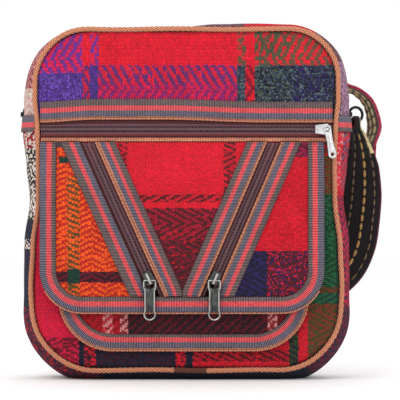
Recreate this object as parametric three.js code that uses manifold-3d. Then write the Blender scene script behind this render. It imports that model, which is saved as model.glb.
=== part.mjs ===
// Kilim crossbody bag: a soft zipped body with piped edges, two stacked front pockets and a woven strap.
// Millimetres. +Z up, the front faces -Y, the origin is the middle of the flat bottom.
import * as THREE from 'three';
import { mergeVertices } from 'three/addons/utils/BufferGeometryUtils.js';
import Module from 'manifold-3d';

const wasm = await Module();
wasm.setup();

// Body sizes, taken at the middle of the piping
const bodyHalfWidth = 121;
const pipingBottom = 8;
const pipingTop = 280;
const seamHalfDepth = 35;
const topLeftRadius = 43;
const topRightRadius = 39;
const bottomCornerRadius = 48;
const waistDepth = 3;
const faceBulge = 6;
const sideBulge = 9;
const topBulge = 4;
const bottomBulge = 13;

// Materials' thicknesses and the clearance between pieces
const cloth = 2.4;
const ribbon = 1.2;
const tape = 1;
const pipingRadius = 2;
const gap = 0.3;

// Main zip across the front, heights above the floor
const zipHeight = 200;
const zipHalfOpening = 6.5;
const upperTrimHeight = 15.5;
const lowerEdgeHeight = 3.6;
const mainSliderFromSide = 13;
const tapeSink = 1.4;

// Pockets
const pocketTrimWidth = 13;
const upperPocketLeft = 4.5 - bodyHalfWidth;
const upperPocketRight = bodyHalfWidth - 11.5;
const upperPocketTop = zipHeight - zipHalfOpening - lowerEdgeHeight - gap;
const upperPocketBottom = 54;
const upperPocketCorner = 34;
const pocketSpace = 2.4;
const pocketPlump = 3;
const pocketLiftLength = 36;
const lowerPocketLeft = 19.5 - bodyHalfWidth;
const lowerPocketRight = bodyHalfWidth - 24;
const lowerPocketTop = 136;
const lowerPocketBottom = 24;
const lowerPocketCorner = 43;

// Slanted zips of the upper pocket: across at the pocket's top, and lean from the vertical in degrees
const zipTapeHalf = 5;
const zipTrimWidth = 13.6;
const leftZipAcross = 42.5 - bodyHalfWidth;
const leftZipLean = 24.4;
const rightZipAcross = bodyHalfWidth - 51.4;
const rightZipLean = -23.5;
const slantSliderHeight = 82;

// Zip hardware
const coilRadius = 1.4;
const sliderLength = 11;
const sliderWidth = 9;
const sliderPlate = 1.4;
const backPlateShare = 0.7;
const sliderTaper = 0.72;
const postStart = 2.4;
const postEnd = 4.6;
const postHalfWidth = 1.1;
const bailHalfLength = 4.5;
const bailWidth = 1.8;
const bailWire = 1;
const bailClear = 2.9;
const pullClear = 0.6;
const pullThickness = 1.6;
const slantPullLength = 32;
const slantPullWidth = 10.6;
const mainPullLength = 27;
const mainPullWidth = 6.6;
const mainPullTilt = 11;
const mainPullWaist = 0.72;
const mainEyeRadius = 1.7;
const mainHoleRadius = 1.5;
const slantEyeHalf = 3.3;
const slantEyeDepth = 5.8;
const slantPivotAhead = 1.9;

// Gusset bands, rings, tabs and strap
const bandHeight = 13;
const bandMiddle = zipHeight + 5;
const ringRadius = 6;
const ringWire = 1.2;
const ringHeight = bandMiddle + 8.5;
const leftTabBehind = 16;
const rightTabBehind = 17;
const tabWidth = 4;
const tabCloth = 0.9;
const strapWidth = 38;
const strapThickness = 2.5;
const strapEndWidth = 4.8;
const strapDrop = 155.3;

// Mesh steps
const gridMargin = 10;
const gridColumns = 10;
const gridRows = 12;
const cornerSteps = 6;
const sideSteps = 8;
const endSteps = 3;
const coilSides = 6;
const pullSegments = 4;
const tabSegments = 10;
const ringSegments = 16;

const fabric = (name, hex) => new THREE.MeshStandardMaterial({ name, color: hex, roughness: 0.9 });
const metal = (name, hex) => new THREE.MeshStandardMaterial({
  name, color: hex, roughness: 0.35, metalness: 1,
});
const looks = {
  kilim: fabric('kilim', 0xb52338),
  kilimDark: fabric('kilim_dark', 0x3a2438),
  trim: fabric('trim', 0xb0565c),
  tan: fabric('tan', 0xc0906a),
  tape: fabric('tape', 0x543034),
  strap: fabric('strap', 0x1c1a1c),
  gunmetal: metal('gunmetal', 0x4a4a4c),
  silver: metal('silver', 0xc8c8ca),
  blackMetal: metal('black_metal', 0x1c1c1e),
};

const bag = new THREE.Group();
const bodyMiddle = (pipingTop + pipingBottom) / 2;
const bodyHalfHeight = (pipingTop - pipingBottom) / 2;

// Solids

function toManifold(geometry) {
  const bare = geometry.clone();
  bare.deleteAttribute('normal');
  bare.deleteAttribute('uv');
  const merged = mergeVertices(bare, 1e-4);
  const index = merged.index.array;
  const triangles = [];
  for (let i = 0; i < index.length; i += 3) {
    const [a, b, c] = [index[i], index[i + 1], index[i + 2]];
    if (a !== b && b !== c && c !== a) triangles.push(a, b, c);
  }
  return new wasm.Manifold(new wasm.Mesh({
    numProp: 3,
    vertProperties: Float32Array.from(merged.attributes.position.array),
    triVerts: Uint32Array.from(triangles),
  }));
}

function toGeometry(solid) {
  const mesh = solid.getMesh();
  const geometry = new THREE.BufferGeometry();
  geometry.setAttribute('position', new THREE.BufferAttribute(Float32Array.from(mesh.vertProperties), 3));
  geometry.setIndex(Array.from(mesh.triVerts));
  return geometry;
}

function add(name, shape, material) {
  const geometry = shape.isBufferGeometry ? shape : toGeometry(shape);
  const mesh = new THREE.Mesh(geometry, material);
  mesh.name = name;
  bag.add(mesh);
  return mesh;
}

// Joins rings of points into one closed body; rings either close on themselves or get two end caps. From
// the point called turned, four-sided cells are split along their other diagonal.
function loft(rings, closed, turned = Infinity) {
  const size = rings[0].length;
  const index = [];
  const last = closed ? rings.length : rings.length - 1;
  for (let i = 0; i < last; i += 1) {
    const here = i * size;
    const next = ((i + 1) % rings.length) * size;
    for (let j = 0; j < size; j += 1) {
      const k = (j + 1) % size;
      if (j < turned) index.push(here + j, next + j, next + k, here + j, next + k, here + k);
      else index.push(here + j, next + j, here + k, next + j, next + k, here + k);
    }
  }
  if (!closed) {
    const end = (rings.length - 1) * size;
    for (let j = 1; j < size - 1; j += 1) {
      index.push(0, j, j + 1);
      index.push(end, end + j + 1, end + j);
    }
  }
  const geometry = new THREE.BufferGeometry();
  const corners = rings.flat();
  const points = corners.flatMap((p) => [p.x, p.y, p.z]);
  geometry.setAttribute('position', new THREE.Float32BufferAttribute(points, 3));
  geometry.setIndex(volume(corners, index) < 0 ? index.reverse() : index);
  return geometry;
}

// Six times the volume that the triangles close; it is negative where they face inwards
function volume(corners, index) {
  let sum = 0;
  for (let i = 0; i < index.length; i += 3) {
    const [a, b, c] = [0, 1, 2].map((k) => corners[index[i + k]]);
    const [x, y, z] = [b.y * c.z - b.z * c.y, b.z * c.x - b.x * c.z, b.x * c.y - b.y * c.x];
    sum += a.x * x + a.y * y + a.z * z;
  }
  return sum;
}

function box(low, high) {
  const size = high.map((value, i) => value - low[i]);
  const geometry = new THREE.BoxGeometry(...size);
  geometry.translate(...high.map((value, i) => (value + low[i]) / 2));
  return geometry;
}

// A flat outline in X and Z, carried through the whole front half along Y, or the back half
function prism(outline, side = -1) {
  const reach = seamHalfDepth * 3;
  const geometry = new THREE.ExtrudeGeometry(new THREE.Shape(outline), { depth: reach, bevelEnabled: false });
  geometry.rotateX(Math.PI / 2);
  geometry.translate(0, side > 0 ? reach : 0, 0);
  return toManifold(geometry);
}

// Outlines

const waistRows = [
  { up: 0, out: 0 }, { up: 0.13, out: 0.6 }, { up: 0.24, out: 1 }, { up: 0.36, out: 0.5 },
  { up: 0.5, out: -0.9 }, { up: 0.62, out: -1 }, { up: 0.72, out: -0.7 }, { up: 0.8, out: 0 },
  { up: 1, out: 0 },
];

// How far the gusset stands out, as a share of its side bulge by height and of its top bulge by width
const sideRows = [
  { up: 0, out: 1.15 }, { up: 0.12, out: 1.1 }, { up: 0.25, out: 0.9 }, { up: 0.5, out: 1.02 },
  { up: 0.6, out: 1.28 }, { up: 0.7, out: 1.5 }, { up: 0.79, out: 1.25 }, { up: 0.9, out: 0.88 },
  { up: 1, out: 0.85 },
];
const topRows = [
  { up: -1, out: 0.7 }, { up: -0.1, out: 0.65 }, { up: 0.2, out: 1.5 }, { up: 0.45, out: 1.65 },
  { up: 0.7, out: 1.45 }, { up: 1, out: 0.9 },
];

function along(rows, at) {
  const place = THREE.MathUtils.clamp(at, rows[0].up, rows[rows.length - 1].up);
  const i = Math.max(rows.findIndex((row) => row.up >= place), 1);
  const [low, high] = [rows[i - 1], rows[i]];
  return THREE.MathUtils.lerp(low.out, high.out, THREE.MathUtils.smoothstep(place, low.up, high.up));
}

const heightShare = (z) => (z - pipingBottom) / (pipingTop - pipingBottom);
const waist = (z) => 1 + (along(waistRows, heightShare(z)) * waistDepth) / bodyHalfWidth;
const sideOut = (z) => sideBulge * along(sideRows, heightShare(z));

// A rounded rectangle as evenly spread points, each with its outward direction
function roundedPoints({ left, right, bottom, top, leftRadius, rightRadius, bottomRadius }) {
  const corners = [
    { x: right - bottomRadius, z: bottom + bottomRadius, r: bottomRadius, turn: -90 },
    { x: right - rightRadius, z: top - rightRadius, r: rightRadius, turn: 0 },
    { x: left + leftRadius, z: top - leftRadius, r: leftRadius, turn: 90 },
    { x: left + bottomRadius, z: bottom + bottomRadius, r: bottomRadius, turn: 180 },
  ];
  const points = [];
  corners.forEach((corner, n) => {
    for (let i = 0; i <= cornerSteps; i += 1) {
      const angle = THREE.MathUtils.degToRad(corner.turn + (90 * i) / cornerSteps);
      const [nx, nz] = [Math.cos(angle), Math.sin(angle)];
      points.push({ x: corner.x + corner.r * nx, z: corner.z + corner.r * nz, nx, nz });
    }
    const next = corners[(n + 1) % 4];
    const turn = THREE.MathUtils.degToRad(next.turn);
    const [nx, nz] = [Math.cos(turn), Math.sin(turn)];
    const end = { x: next.x + next.r * nx, z: next.z + next.r * nz };
    const start = points[points.length - 1];
    const steps = n % 2 === 0 ? sideSteps : endSteps;
    for (let i = 1; i < steps; i += 1) {
      const t = i / steps;
      points.push({ x: start.x + (end.x - start.x) * t, z: start.z + (end.z - start.z) * t, nx, nz });
    }
  });
  return points;
}

function bodyOutline(inset = 0) {
  const points = roundedPoints({
    left: -bodyHalfWidth + inset,
    right: bodyHalfWidth - inset,
    bottom: pipingBottom + inset,
    top: pipingTop - inset,
    leftRadius: topLeftRadius - inset,
    rightRadius: topRightRadius - inset,
    bottomRadius: bottomCornerRadius - inset,
  });
  return points.map((p) => ({ ...p, x: p.x * waist(p.z) }));
}

// A pocket's outline: square top corners, round bottom corners
function pocketOutline({ left, right, bottom, top, corner, inset = 0, topInset = 0 }) {
  const r = corner - inset;
  const shape = new THREE.Shape();
  shape.moveTo(left + inset, top - topInset);
  shape.lineTo(left + inset, bottom + inset + r);
  shape.absarc(left + inset + r, bottom + inset + r, r, Math.PI, 1.5 * Math.PI, false);
  shape.absarc(right - inset - r, bottom + inset + r, r, 1.5 * Math.PI, 2 * Math.PI, false);
  shape.lineTo(right - inset, top - topInset);
  return shape.getPoints(cornerSteps);
}

const flat = (points) => points.map((p) => new THREE.Vector2(p.x, p.z));

// Faces

const crown = (u) => 1 - Math.min(Math.abs(u), 1) ** 2.6;

function faceDepth(x, z) {
  const across = crown(x / bodyHalfWidth);
  const up = crown((z - bodyMiddle) / bodyHalfHeight);
  return seamHalfDepth + faceBulge * across * up;
}

const lowerStack = gap + cloth + gap + ribbon;

function pocketStand(x, z) {
  const drop = THREE.MathUtils.smoothstep(upperPocketTop - z, 0, pocketLiftLength);
  const lift = drop * (lowerStack + pocketSpace);
  const middle = (upperPocketLeft + upperPocketRight) / 2;
  const half = (upperPocketRight - upperPocketLeft) / 2;
  const centre = (upperPocketTop + upperPocketBottom) / 2;
  const plump = pocketPlump * crown((x - middle) / half) * crown((z - centre) / (upperPocketTop - centre));
  return faceDepth(x, z) + gap + lift + plump;
}

// Layers of one grid stay parallel, because every layer uses the same columns, rows and diagonals
const gridReach = bodyHalfWidth + gridMargin;
const gridTop = pipingTop + gridMargin;
const columnAt = (i) => -gridReach + (2 * gridReach * i) / gridColumns;
const rowAt = (j) => (gridTop * j) / gridRows;

function onGrid(depth, x, z) {
  const inside = (share, cells) => THREE.MathUtils.clamp(share * cells, 0, cells - 1e-6);
  const across = inside((x + gridReach) / (2 * gridReach), gridColumns);
  const up = inside(z / gridTop, gridRows);
  const [i, j] = [Math.floor(across), Math.floor(up)];
  const [s, t] = [across - i, up - j];
  const low = depth(columnAt(i), rowAt(j));
  const high = depth(columnAt(i + 1), rowAt(j + 1));
  if (s > t) {
    const side = depth(columnAt(i + 1), rowAt(j));
    return low + (side - low) * s + (high - side) * t;
  }
  const side = depth(columnAt(i), rowAt(j + 1));
  return low + (side - low) * t + (high - side) * s;
}

// A slab between two offsets of a face; side -1 is the front and +1 the back
function layer(depth, from, to, side = -1) {
  const points = [];
  for (const offset of [from, to]) {
    for (let j = 0; j <= gridRows; j += 1) {
      for (let i = 0; i <= gridColumns; i += 1) {
        const [x, z] = [columnAt(i), rowAt(j)];
        points.push(x, side * (depth(x, z) + offset), z);
      }
    }
  }
  const row = gridColumns + 1;
  const outer = row * (gridRows + 1);
  const index = [];
  const triangle = (a, b, c) => (side < 0 ? index.push(a, b, c) : index.push(a, c, b));
  const quad = (a, b, c, d) => {
    triangle(a, b, c);
    triangle(a, c, d);
  };
  for (let j = 0; j < gridRows; j += 1) {
    for (let i = 0; i < gridColumns; i += 1) {
      const a = j * row + i;
      quad(outer + a, outer + a + 1, outer + a + row + 1, outer + a + row);
      quad(a, a + row, a + row + 1, a + 1);
    }
  }
  for (let i = 0; i < gridColumns; i += 1) {
    const top = gridRows * row + i;
    quad(i, i + 1, outer + i + 1, outer + i);
    quad(top + 1, top, outer + top, outer + top + 1);
  }
  for (let j = 0; j < gridRows; j += 1) {
    const left = j * row;
    const right = left + gridColumns;
    quad(left + row, left, outer + left, outer + left + row);
    quad(right, right + row, outer + right + row, outer + right);
  }
  const geometry = new THREE.BufferGeometry();
  geometry.setAttribute('position', new THREE.Float32BufferAttribute(points, 3));
  geometry.setIndex(index);
  return toManifold(geometry);
}

const band = (low, high) => prism([
  new THREE.Vector2(-gridReach, low), new THREE.Vector2(gridReach, low),
  new THREE.Vector2(gridReach, high), new THREE.Vector2(-gridReach, high),
]);

// Body panels

const panelInset = pipingRadius + gap;
const panelPrism = prism(flat(bodyOutline(panelInset)));
const upperOpening = zipHeight + zipHalfOpening;
const lowerOpening = zipHeight - zipHalfOpening;
const frontWall = layer(faceDepth, -cloth, 0).intersect(panelPrism);
add('front_upper_panel', frontWall.intersect(band(upperOpening, gridTop)), looks.kilim);
add('front_lower_panel', frontWall.intersect(band(0, lowerOpening)), looks.kilim);
const backPrism = prism(flat(bodyOutline(panelInset)), 1);
add('back_panel', layer(faceDepth, -cloth, 0, 1).intersect(backPrism), looks.kilimDark);

// Piping round the front and the back

function pipingLoop(side) {
  const outline = bodyOutline();
  const rings = outline.map((p) => {
    const middle = side * (faceDepth(p.x, p.z) - cloth / 2);
    const ring = [];
    for (let i = 0; i < 6; i += 1) {
      const angle = (i * Math.PI) / 3;
      const out = pipingRadius * Math.cos(angle);
      ring.push({ x: p.x + p.nx * out, y: middle + pipingRadius * Math.sin(angle), z: p.z + p.nz * out });
    }
    return ring;
  });
  return loft(rings, true);
}

add('piping_front', pipingLoop(-1), looks.tan);
add('piping_back', pipingLoop(1), looks.tan);

// Gusset: one shell that bulges between the two pipings and is flat where it rests

const gussetHalfDepth = seamHalfDepth - cloth / 2 - pipingRadius - gap;

function gussetOut(p, y) {
  const endBulge = p.nz > 0 ? topBulge * along(topRows, p.x / bodyHalfWidth) : bottomBulge;
  const bulge = sideOut(p.z) * p.nx ** 2 + endBulge * p.nz ** 2;
  return bulge * (1 - (y / gussetHalfDepth) ** 2);
}

// The floor is at the outer face, so an inner face stays its own thickness above it
function gussetShell(inner, outer) {
  const rows = [-1, -0.6, -0.25, 0.25, 0.6, 1];
  const rings = bodyOutline().map((p) => {
    const at = (share, offset) => {
      const y = share * gussetHalfDepth;
      const out = gussetOut(p, y) + offset;
      return { x: p.x + p.nx * out, y, z: Math.max(p.z + p.nz * out, -offset, 0) };
    };
    const outside = rows.map((share) => at(share, outer));
    const inside = [...rows].reverse().map((share) => at(share, inner));
    return [...outside, ...inside];
  });
  return toManifold(loft(rings, true, rows.length));
}

const gussetCloth = gussetShell(-cloth, 0);
const wide = bodyHalfWidth * 2;
const deep = seamHalfDepth * 2;
const above = (z) => toManifold(box([-wide, -deep, z], [wide, deep, gridTop * 2]));
const below = (z) => toManifold(box([-wide, -deep, -wide], [wide, deep, z]));
add('gusset_top', gussetCloth.intersect(above(bandMiddle + gap / 2)), looks.kilimDark);
add('gusset_bottom', gussetCloth.intersect(below(bandMiddle - gap / 2)), looks.kilimDark);

const bandLow = bandMiddle - bandHeight / 2;
const bandHigh = bandMiddle + bandHeight / 2;
const bandLoop = gussetShell(gap, gap + ribbon).intersect(above(bandLow)).intersect(below(bandHigh));
const halfSpace = (side) => toManifold(box(
  [side < 0 ? -wide : 0, -deep, 0],
  [side < 0 ? 0 : wide, deep, gridTop * 2],
));
add('gusset_trim_left', bandLoop.intersect(halfSpace(-1)), looks.trim);
add('gusset_trim_right', bandLoop.intersect(halfSpace(1)), looks.trim);

// Main zip

const tapeBack = -tapeSink - gap;
const coilMiddle = tapeBack + coilRadius;
const tapeInner = coilRadius + gap;
const mainTape = layer(faceDepth, tapeBack, tapeBack + tape).intersect(panelPrism);
add('zip_tape_upper', mainTape.intersect(band(zipHeight + tapeInner, upperOpening - gap)), looks.tape);
add('zip_tape_lower', mainTape.intersect(band(lowerOpening + gap, zipHeight - tapeInner)), looks.tape);
const ribbonLayer = layer(faceDepth, gap, gap + ribbon).intersect(panelPrism);
const upperTrimBand = band(upperOpening - gap, upperOpening + upperTrimHeight);
add('zip_upper_trim', ribbonLayer.intersect(upperTrimBand), looks.trim);
const lowerEdgeBand = band(lowerOpening - lowerEdgeHeight, lowerOpening + gap);
add('zip_lower_edge', ribbonLayer.intersect(lowerEdgeBand), looks.tan);

// A round cord along a straight line of the front, following a face
function coil(depth, offset, from, to) {
  const steps = 12;
  const rings = [];
  const lean = Math.atan2(to.z - from.z, to.x - from.x);
  for (let i = 0; i <= steps; i += 1) {
    const x = from.x + ((to.x - from.x) * i) / steps;
    const z = from.z + ((to.z - from.z) * i) / steps;
    const middle = onGrid(depth, x, z) + offset;
    const ring = [];
    for (let k = 0; k < coilSides; k += 1) {
      const angle = (k * 2 * Math.PI) / coilSides;
      const side = coilRadius * Math.cos(angle);
      const out = coilRadius * Math.sin(angle);
      ring.push({ x: x - Math.sin(lean) * side, y: -middle - out, z: z + Math.cos(lean) * side });
    }
    rings.push(ring);
  }
  return loft(rings, false);
}

// A frame on a face: its first axis runs along the zip towards the open end, its third axis points out
function faceFrame(depth, offset, x, z, directionX, directionZ) {
  const step = sliderLength / 2;
  const point = (px, pz) => new THREE.Vector3(px, -onGrid(depth, px, pz) - offset, pz);
  const ahead = point(x + directionX * step, z + directionZ * step);
  const behind = point(x - directionX * step, z - directionZ * step);
  const along = ahead.clone().sub(behind).normalize();
  const left = point(x - directionZ * step, z + directionX * step);
  const right = point(x + directionZ * step, z - directionX * step);
  const across = left.sub(right);
  const out = along.clone().cross(across).normalize();
  across.crossVectors(out, along);
  const middle = ahead.clone().add(behind).multiplyScalar(0.5);
  const matrix = new THREE.Matrix4().makeBasis(along, across, out);
  return { middle, matrix, along, out };
}

const plateLow = coilRadius + gap;
const plateHigh = plateLow + sliderPlate;
const backPlateHigh = -coilRadius - gap;
const bailBottom = plateHigh + bailClear;

// Two plates joined by a post at the open end, with a bail on top
function sliderBody() {
  const outline = new THREE.Shape();
  const [back, front] = [-sliderLength / 2, sliderLength / 2];
  const half = sliderWidth / 2;
  outline.moveTo(back, -half * sliderTaper);
  outline.lineTo(front - 2, -half);
  outline.quadraticCurveTo(front, -half, front, 0);
  outline.quadraticCurveTo(front, half, front - 2, half);
  outline.lineTo(back, half * sliderTaper);
  outline.closePath();
  const plate = (low, high) => {
    const geometry = new THREE.ExtrudeGeometry(outline, {
      depth: high - low, bevelEnabled: false, curveSegments: pullSegments,
    });
    geometry.translate(0, 0, low);
    return toManifold(geometry);
  };
  const halfBail = bailWidth / 2;
  const sink = 0.5;
  const bar = (from, to, reach, low, high) => toManifold(box([from, -reach, low], [to, reach, high]));
  const leg = (from) => bar(from, from + bailWire, halfBail, plateHigh - sink, bailBottom + sink);
  return plate(plateLow, plateHigh)
    .add(plate(backPlateHigh - sliderPlate * backPlateShare, backPlateHigh))
    .add(bar(postStart, postEnd, postHalfWidth, backPlateHigh - sink, plateLow + sink))
    .add(leg(-bailHalfLength))
    .add(leg(bailHalfLength - bailWire))
    .add(bar(-bailHalfLength, bailHalfLength, halfBail, bailBottom, bailBottom + bailWire));
}

function placed(solid, frame) {
  const geometry = toGeometry(solid);
  geometry.applyMatrix4(frame.matrix);
  geometry.translate(frame.middle.x, frame.middle.y, frame.middle.z);
  return geometry;
}

const pullLevel = plateHigh + pullClear + pullThickness / 2;

const mainSliderAcross = bodyHalfWidth - mainSliderFromSide;
const mainFrame = faceFrame(faceDepth, coilMiddle, mainSliderAcross, zipHeight, 1, 0);
const zipLeftEnd = -bodyHalfWidth * waist(zipHeight) + panelInset + gap;
add('zip_coil', coil(faceDepth, coilMiddle, { x: zipLeftEnd, z: zipHeight },
  { x: mainSliderAcross + postStart - gap, z: zipHeight }), looks.tape);
add('main_slider', placed(sliderBody(), mainFrame), looks.silver);

// The main pull hangs from the bail's right leg and swings in the front's plane
const legAlong = bailHalfLength - bailWire / 2;
const mainPivot = mainFrame.middle.clone()
  .addScaledVector(mainFrame.along, legAlong)
  .addScaledVector(mainFrame.out, pullLevel);

function ringHole(x, y, radius) {
  const hole = new THREE.Path();
  hole.absarc(x, y, radius, 0, 2 * Math.PI, true);
  return hole;
}

function mainPullShape() {
  const half = mainPullWidth / 2;
  const far = mainPullLength - half - half;
  const shape = new THREE.Shape();
  shape.absarc(0, 0, half, 0.15 * Math.PI, 0.85 * Math.PI, false);
  shape.lineTo(-half * mainPullWaist, -far / 2);
  shape.absarc(0, -far, half, Math.PI, 2 * Math.PI, false);
  shape.lineTo(half * mainPullWaist, -far / 2);
  shape.closePath();
  shape.holes.push(ringHole(0, 0, mainEyeRadius), ringHole(0, -far, mainHoleRadius));
  return shape;
}

function pullGeometry(shape) {
  const geometry = new THREE.ExtrudeGeometry(shape, {
    depth: pullThickness, bevelEnabled: false, curveSegments: pullSegments,
  });
  geometry.translate(0, 0, -pullThickness / 2);
  return geometry;
}

const mainPull = add('main_pull', pullGeometry(mainPullShape()), looks.silver);
mainPull.position.copy(mainPivot);
mainPull.setRotationFromMatrix(mainFrame.matrix);
mainPull.rotateZ(THREE.MathUtils.degToRad(mainPullTilt));

// Lower pocket

const lowerOutline = (inset) => pocketOutline({
  left: lowerPocketLeft,
  right: lowerPocketRight,
  bottom: lowerPocketBottom,
  top: lowerPocketTop,
  corner: lowerPocketCorner,
  inset,
});
const lowerPrism = prism(lowerOutline(0));
const lowerCloth = layer(faceDepth, gap, gap + cloth).intersect(lowerPrism);
add('pocket_lower_panel', lowerCloth, looks.kilim);
const lowerRibbon = layer(faceDepth, lowerStack - ribbon, lowerStack).intersect(lowerPrism);
const lowerInner = prism(pocketOutline({
  left: lowerPocketLeft,
  right: lowerPocketRight,
  bottom: lowerPocketBottom,
  top: gridTop,
  corner: lowerPocketCorner,
  inset: pocketTrimWidth,
}));
add('pocket_lower_trim', lowerRibbon.subtract(lowerInner), looks.trim);

// Upper pocket: a raised front with side walls, cut by two slanted zips

const upperOutline = (inset, topInset, top = upperPocketTop) => pocketOutline({
  left: upperPocketLeft,
  right: upperPocketRight,
  bottom: upperPocketBottom,
  top,
  corner: upperPocketCorner,
  inset,
  topInset,
});
const upperPrism = prism(upperOutline(0, 0));
const wallInset = ribbon + gap;
const clothPrism = prism(upperOutline(wallInset, gap));
const innerPrism = prism(upperOutline(pocketTrimWidth, 0, gridTop));
const wallPrism = upperPrism.subtract(prism(upperOutline(ribbon, 0, gridTop)));
const clothLayer = layer(pocketStand, 0, cloth).intersect(clothPrism);
const trimFrom = cloth + gap;
const trimTo = trimFrom + ribbon;
const trimLayer = layer(pocketStand, trimFrom, trimTo).intersect(upperPrism);
const lowerClear = prism(pocketOutline({
  left: lowerPocketLeft - gap,
  right: lowerPocketRight + gap,
  bottom: lowerPocketBottom - gap,
  top: lowerPocketTop + gap,
  corner: lowerPocketCorner,
})).intersect(layer(faceDepth, -cloth, lowerStack + gap));
const beyondTrim = layer(pocketStand, trimTo, seamHalfDepth * 2);
const outerSkin = layer(faceDepth, gap, seamHalfDepth).subtract(beyondTrim);
const wall = outerSkin.intersect(wallPrism).subtract(lowerClear);
const border = trimLayer.subtract(innerPrism).add(wall);
add('pocket_upper_trim', border, looks.trim);

const slantZips = [
  { side: 'left', across: leftZipAcross, lean: leftZipLean, outer: -1 },
  { side: 'right', across: rightZipAcross, lean: rightZipLean, outer: 1 },
];

function zipPoint(zip, z, offset = 0) {
  const lean = THREE.MathUtils.degToRad(zip.lean);
  return { x: zip.across + (upperPocketTop - z) * Math.tan(lean) + offset / Math.cos(lean), z };
}

// The strip between two distances from a slanted zip's middle line
function strip(zip, from, to) {
  const [high, low] = [gridTop, -gridTop];
  return prism(flat([
    zipPoint(zip, low, from), zipPoint(zip, low, to), zipPoint(zip, high, to), zipPoint(zip, high, from),
  ]));
}

const far = bodyHalfWidth * 3;
const [leftZip, rightZip] = slantZips;
const leftSlot = strip(leftZip, -zipTapeHalf, zipTapeHalf);
const rightSlot = strip(rightZip, -zipTapeHalf, zipTapeHalf);
add('pocket_left_panel', clothLayer.intersect(strip(leftZip, -far, -zipTapeHalf)), looks.kilim);
add('pocket_right_panel', clothLayer.intersect(strip(rightZip, zipTapeHalf, far)), looks.kilim);
const betweenZips = strip(leftZip, zipTapeHalf, far).intersect(strip(rightZip, -far, -zipTapeHalf));
add('pocket_centre_panel', clothLayer.intersect(betweenZips), looks.kilim);

const slantTape = layer(pocketStand, 0, tape).intersect(clothPrism);
const innerLayer = trimLayer.intersect(prism(upperOutline(pocketTrimWidth + gap, 0, upperPocketTop)));
const trimInner = zipTapeHalf - gap;
const trimOuter = zipTapeHalf + zipTrimWidth;
const meetHeight = upperPocketBottom + pocketTrimWidth;
const meetLeft = zipPoint(leftZip, meetHeight, trimInner).x;
const meetRight = zipPoint(rightZip, meetHeight, -trimInner).x;
const meetAcross = (meetLeft + meetRight) / 2;
const slantCoilMiddle = coilRadius;

for (const zip of slantZips) {
  const { side, outer } = zip;
  const ordered = (a, b) => (outer < 0 ? strip(zip, -b, -a) : strip(zip, a, b));
  const other = (a, b) => (outer < 0 ? strip(zip, a, b) : strip(zip, -b, -a));
  const half = outer < 0
    ? toManifold(box([-wide, -deep * 2, -wide], [meetAcross - gap / 2, 0, gridTop]))
    : toManifold(box([meetAcross + gap / 2, -deep * 2, -wide], [wide, 0, gridTop]));
  add(`${side}_zip_outer_trim`, innerLayer.intersect(ordered(trimInner, trimOuter)), looks.trim);
  const innerTrim = innerLayer.intersect(other(trimInner, trimOuter)).intersect(half);
  add(`${side}_zip_inner_trim`, innerTrim, looks.trim);
  const tapeReach = zipTapeHalf - gap;
  add(`${side}_zip_tape_outer`, slantTape.intersect(ordered(tapeInner, tapeReach)), looks.tape);
  add(`${side}_zip_tape_inner`, slantTape.intersect(other(tapeInner, tapeReach)), looks.tape);

  const lean = THREE.MathUtils.degToRad(zip.lean);
  const spot = zipPoint(zip, slantSliderHeight);
  const frame = faceFrame(pocketStand, slantCoilMiddle, spot.x, spot.z, Math.sin(lean), -Math.cos(lean));
  const coilTop = zipPoint(zip, upperPocketTop - gap * 2);
  const stop = postStart - gap;
  const coilEnd = { x: spot.x + Math.sin(lean) * stop, z: spot.z - Math.cos(lean) * stop };
  add(`${side}_zip_coil`, coil(pocketStand, slantCoilMiddle, coilEnd, coilTop), looks.tape);
  add(`${side}_slider`, placed(sliderBody(), frame), looks.gunmetal);

  const pull = add(`${side}_pull`, pullGeometry(slantPullShape()), looks.gunmetal);
  pull.position.copy(frame.middle)
    .addScaledVector(frame.along, slantPivotAhead)
    .addScaledVector(frame.out, pullLevel);
  pull.rotation.x = Math.PI / 2;
}

// A pull with an eye for the bail at the top, a plate and an open ring at the bottom
function slantPullShape() {
  const half = slantPullWidth / 2;
  const bar = pullThickness / 2;
  const eyeHalf = slantEyeHalf;
  const eyeDeep = slantEyeDepth;
  const ringMiddle = -slantPullLength + bar + half * 0.86;
  const shape = new THREE.Shape();
  shape.moveTo(-half + 1.4, bar);
  shape.quadraticCurveTo(-half, bar, -half, -1);
  shape.lineTo(-half, -eyeDeep);
  shape.quadraticCurveTo(-half, -eyeDeep - 1.6, -half * 0.8, -eyeDeep - 2.2);
  shape.lineTo(-half * 0.8, ringMiddle + half * 0.5);
  shape.absarc(0, ringMiddle, half * 0.86, 0.86 * Math.PI, 2.14 * Math.PI, false);
  shape.lineTo(half * 0.8, ringMiddle + half * 0.5);
  shape.lineTo(half * 0.8, -eyeDeep - 2.2);
  shape.quadraticCurveTo(half, -eyeDeep - 1.6, half, -eyeDeep);
  shape.lineTo(half, -1);
  shape.quadraticCurveTo(half, bar, half - 1.4, bar);
  shape.closePath();
  const eye = new THREE.Path();
  eye.moveTo(-eyeHalf, -bar);
  eye.lineTo(eyeHalf, -bar);
  eye.lineTo(eyeHalf, -eyeDeep + 1);
  eye.quadraticCurveTo(eyeHalf, -eyeDeep, eyeHalf - 1, -eyeDeep);
  eye.lineTo(-eyeHalf + 1, -eyeDeep);
  eye.quadraticCurveTo(-eyeHalf, -eyeDeep, -eyeHalf, -eyeDeep + 1);
  eye.closePath();
  shape.holes.push(eye, ringHole(0, ringMiddle, half * 0.52));
  return shape;
}

// Rings and tabs

const gussetFace = (y) => {
  const share = 1 - (y / gussetHalfDepth) ** 2;
  return bodyHalfWidth * waist(ringHeight) + sideOut(ringHeight) * share + gap + ribbon;
};
const tabHole = ringWire + gap + ringRadius - Math.sqrt(ringRadius ** 2 - (tabWidth / 2) ** 2);
const tabWall = tabHole + tabCloth;

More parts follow.
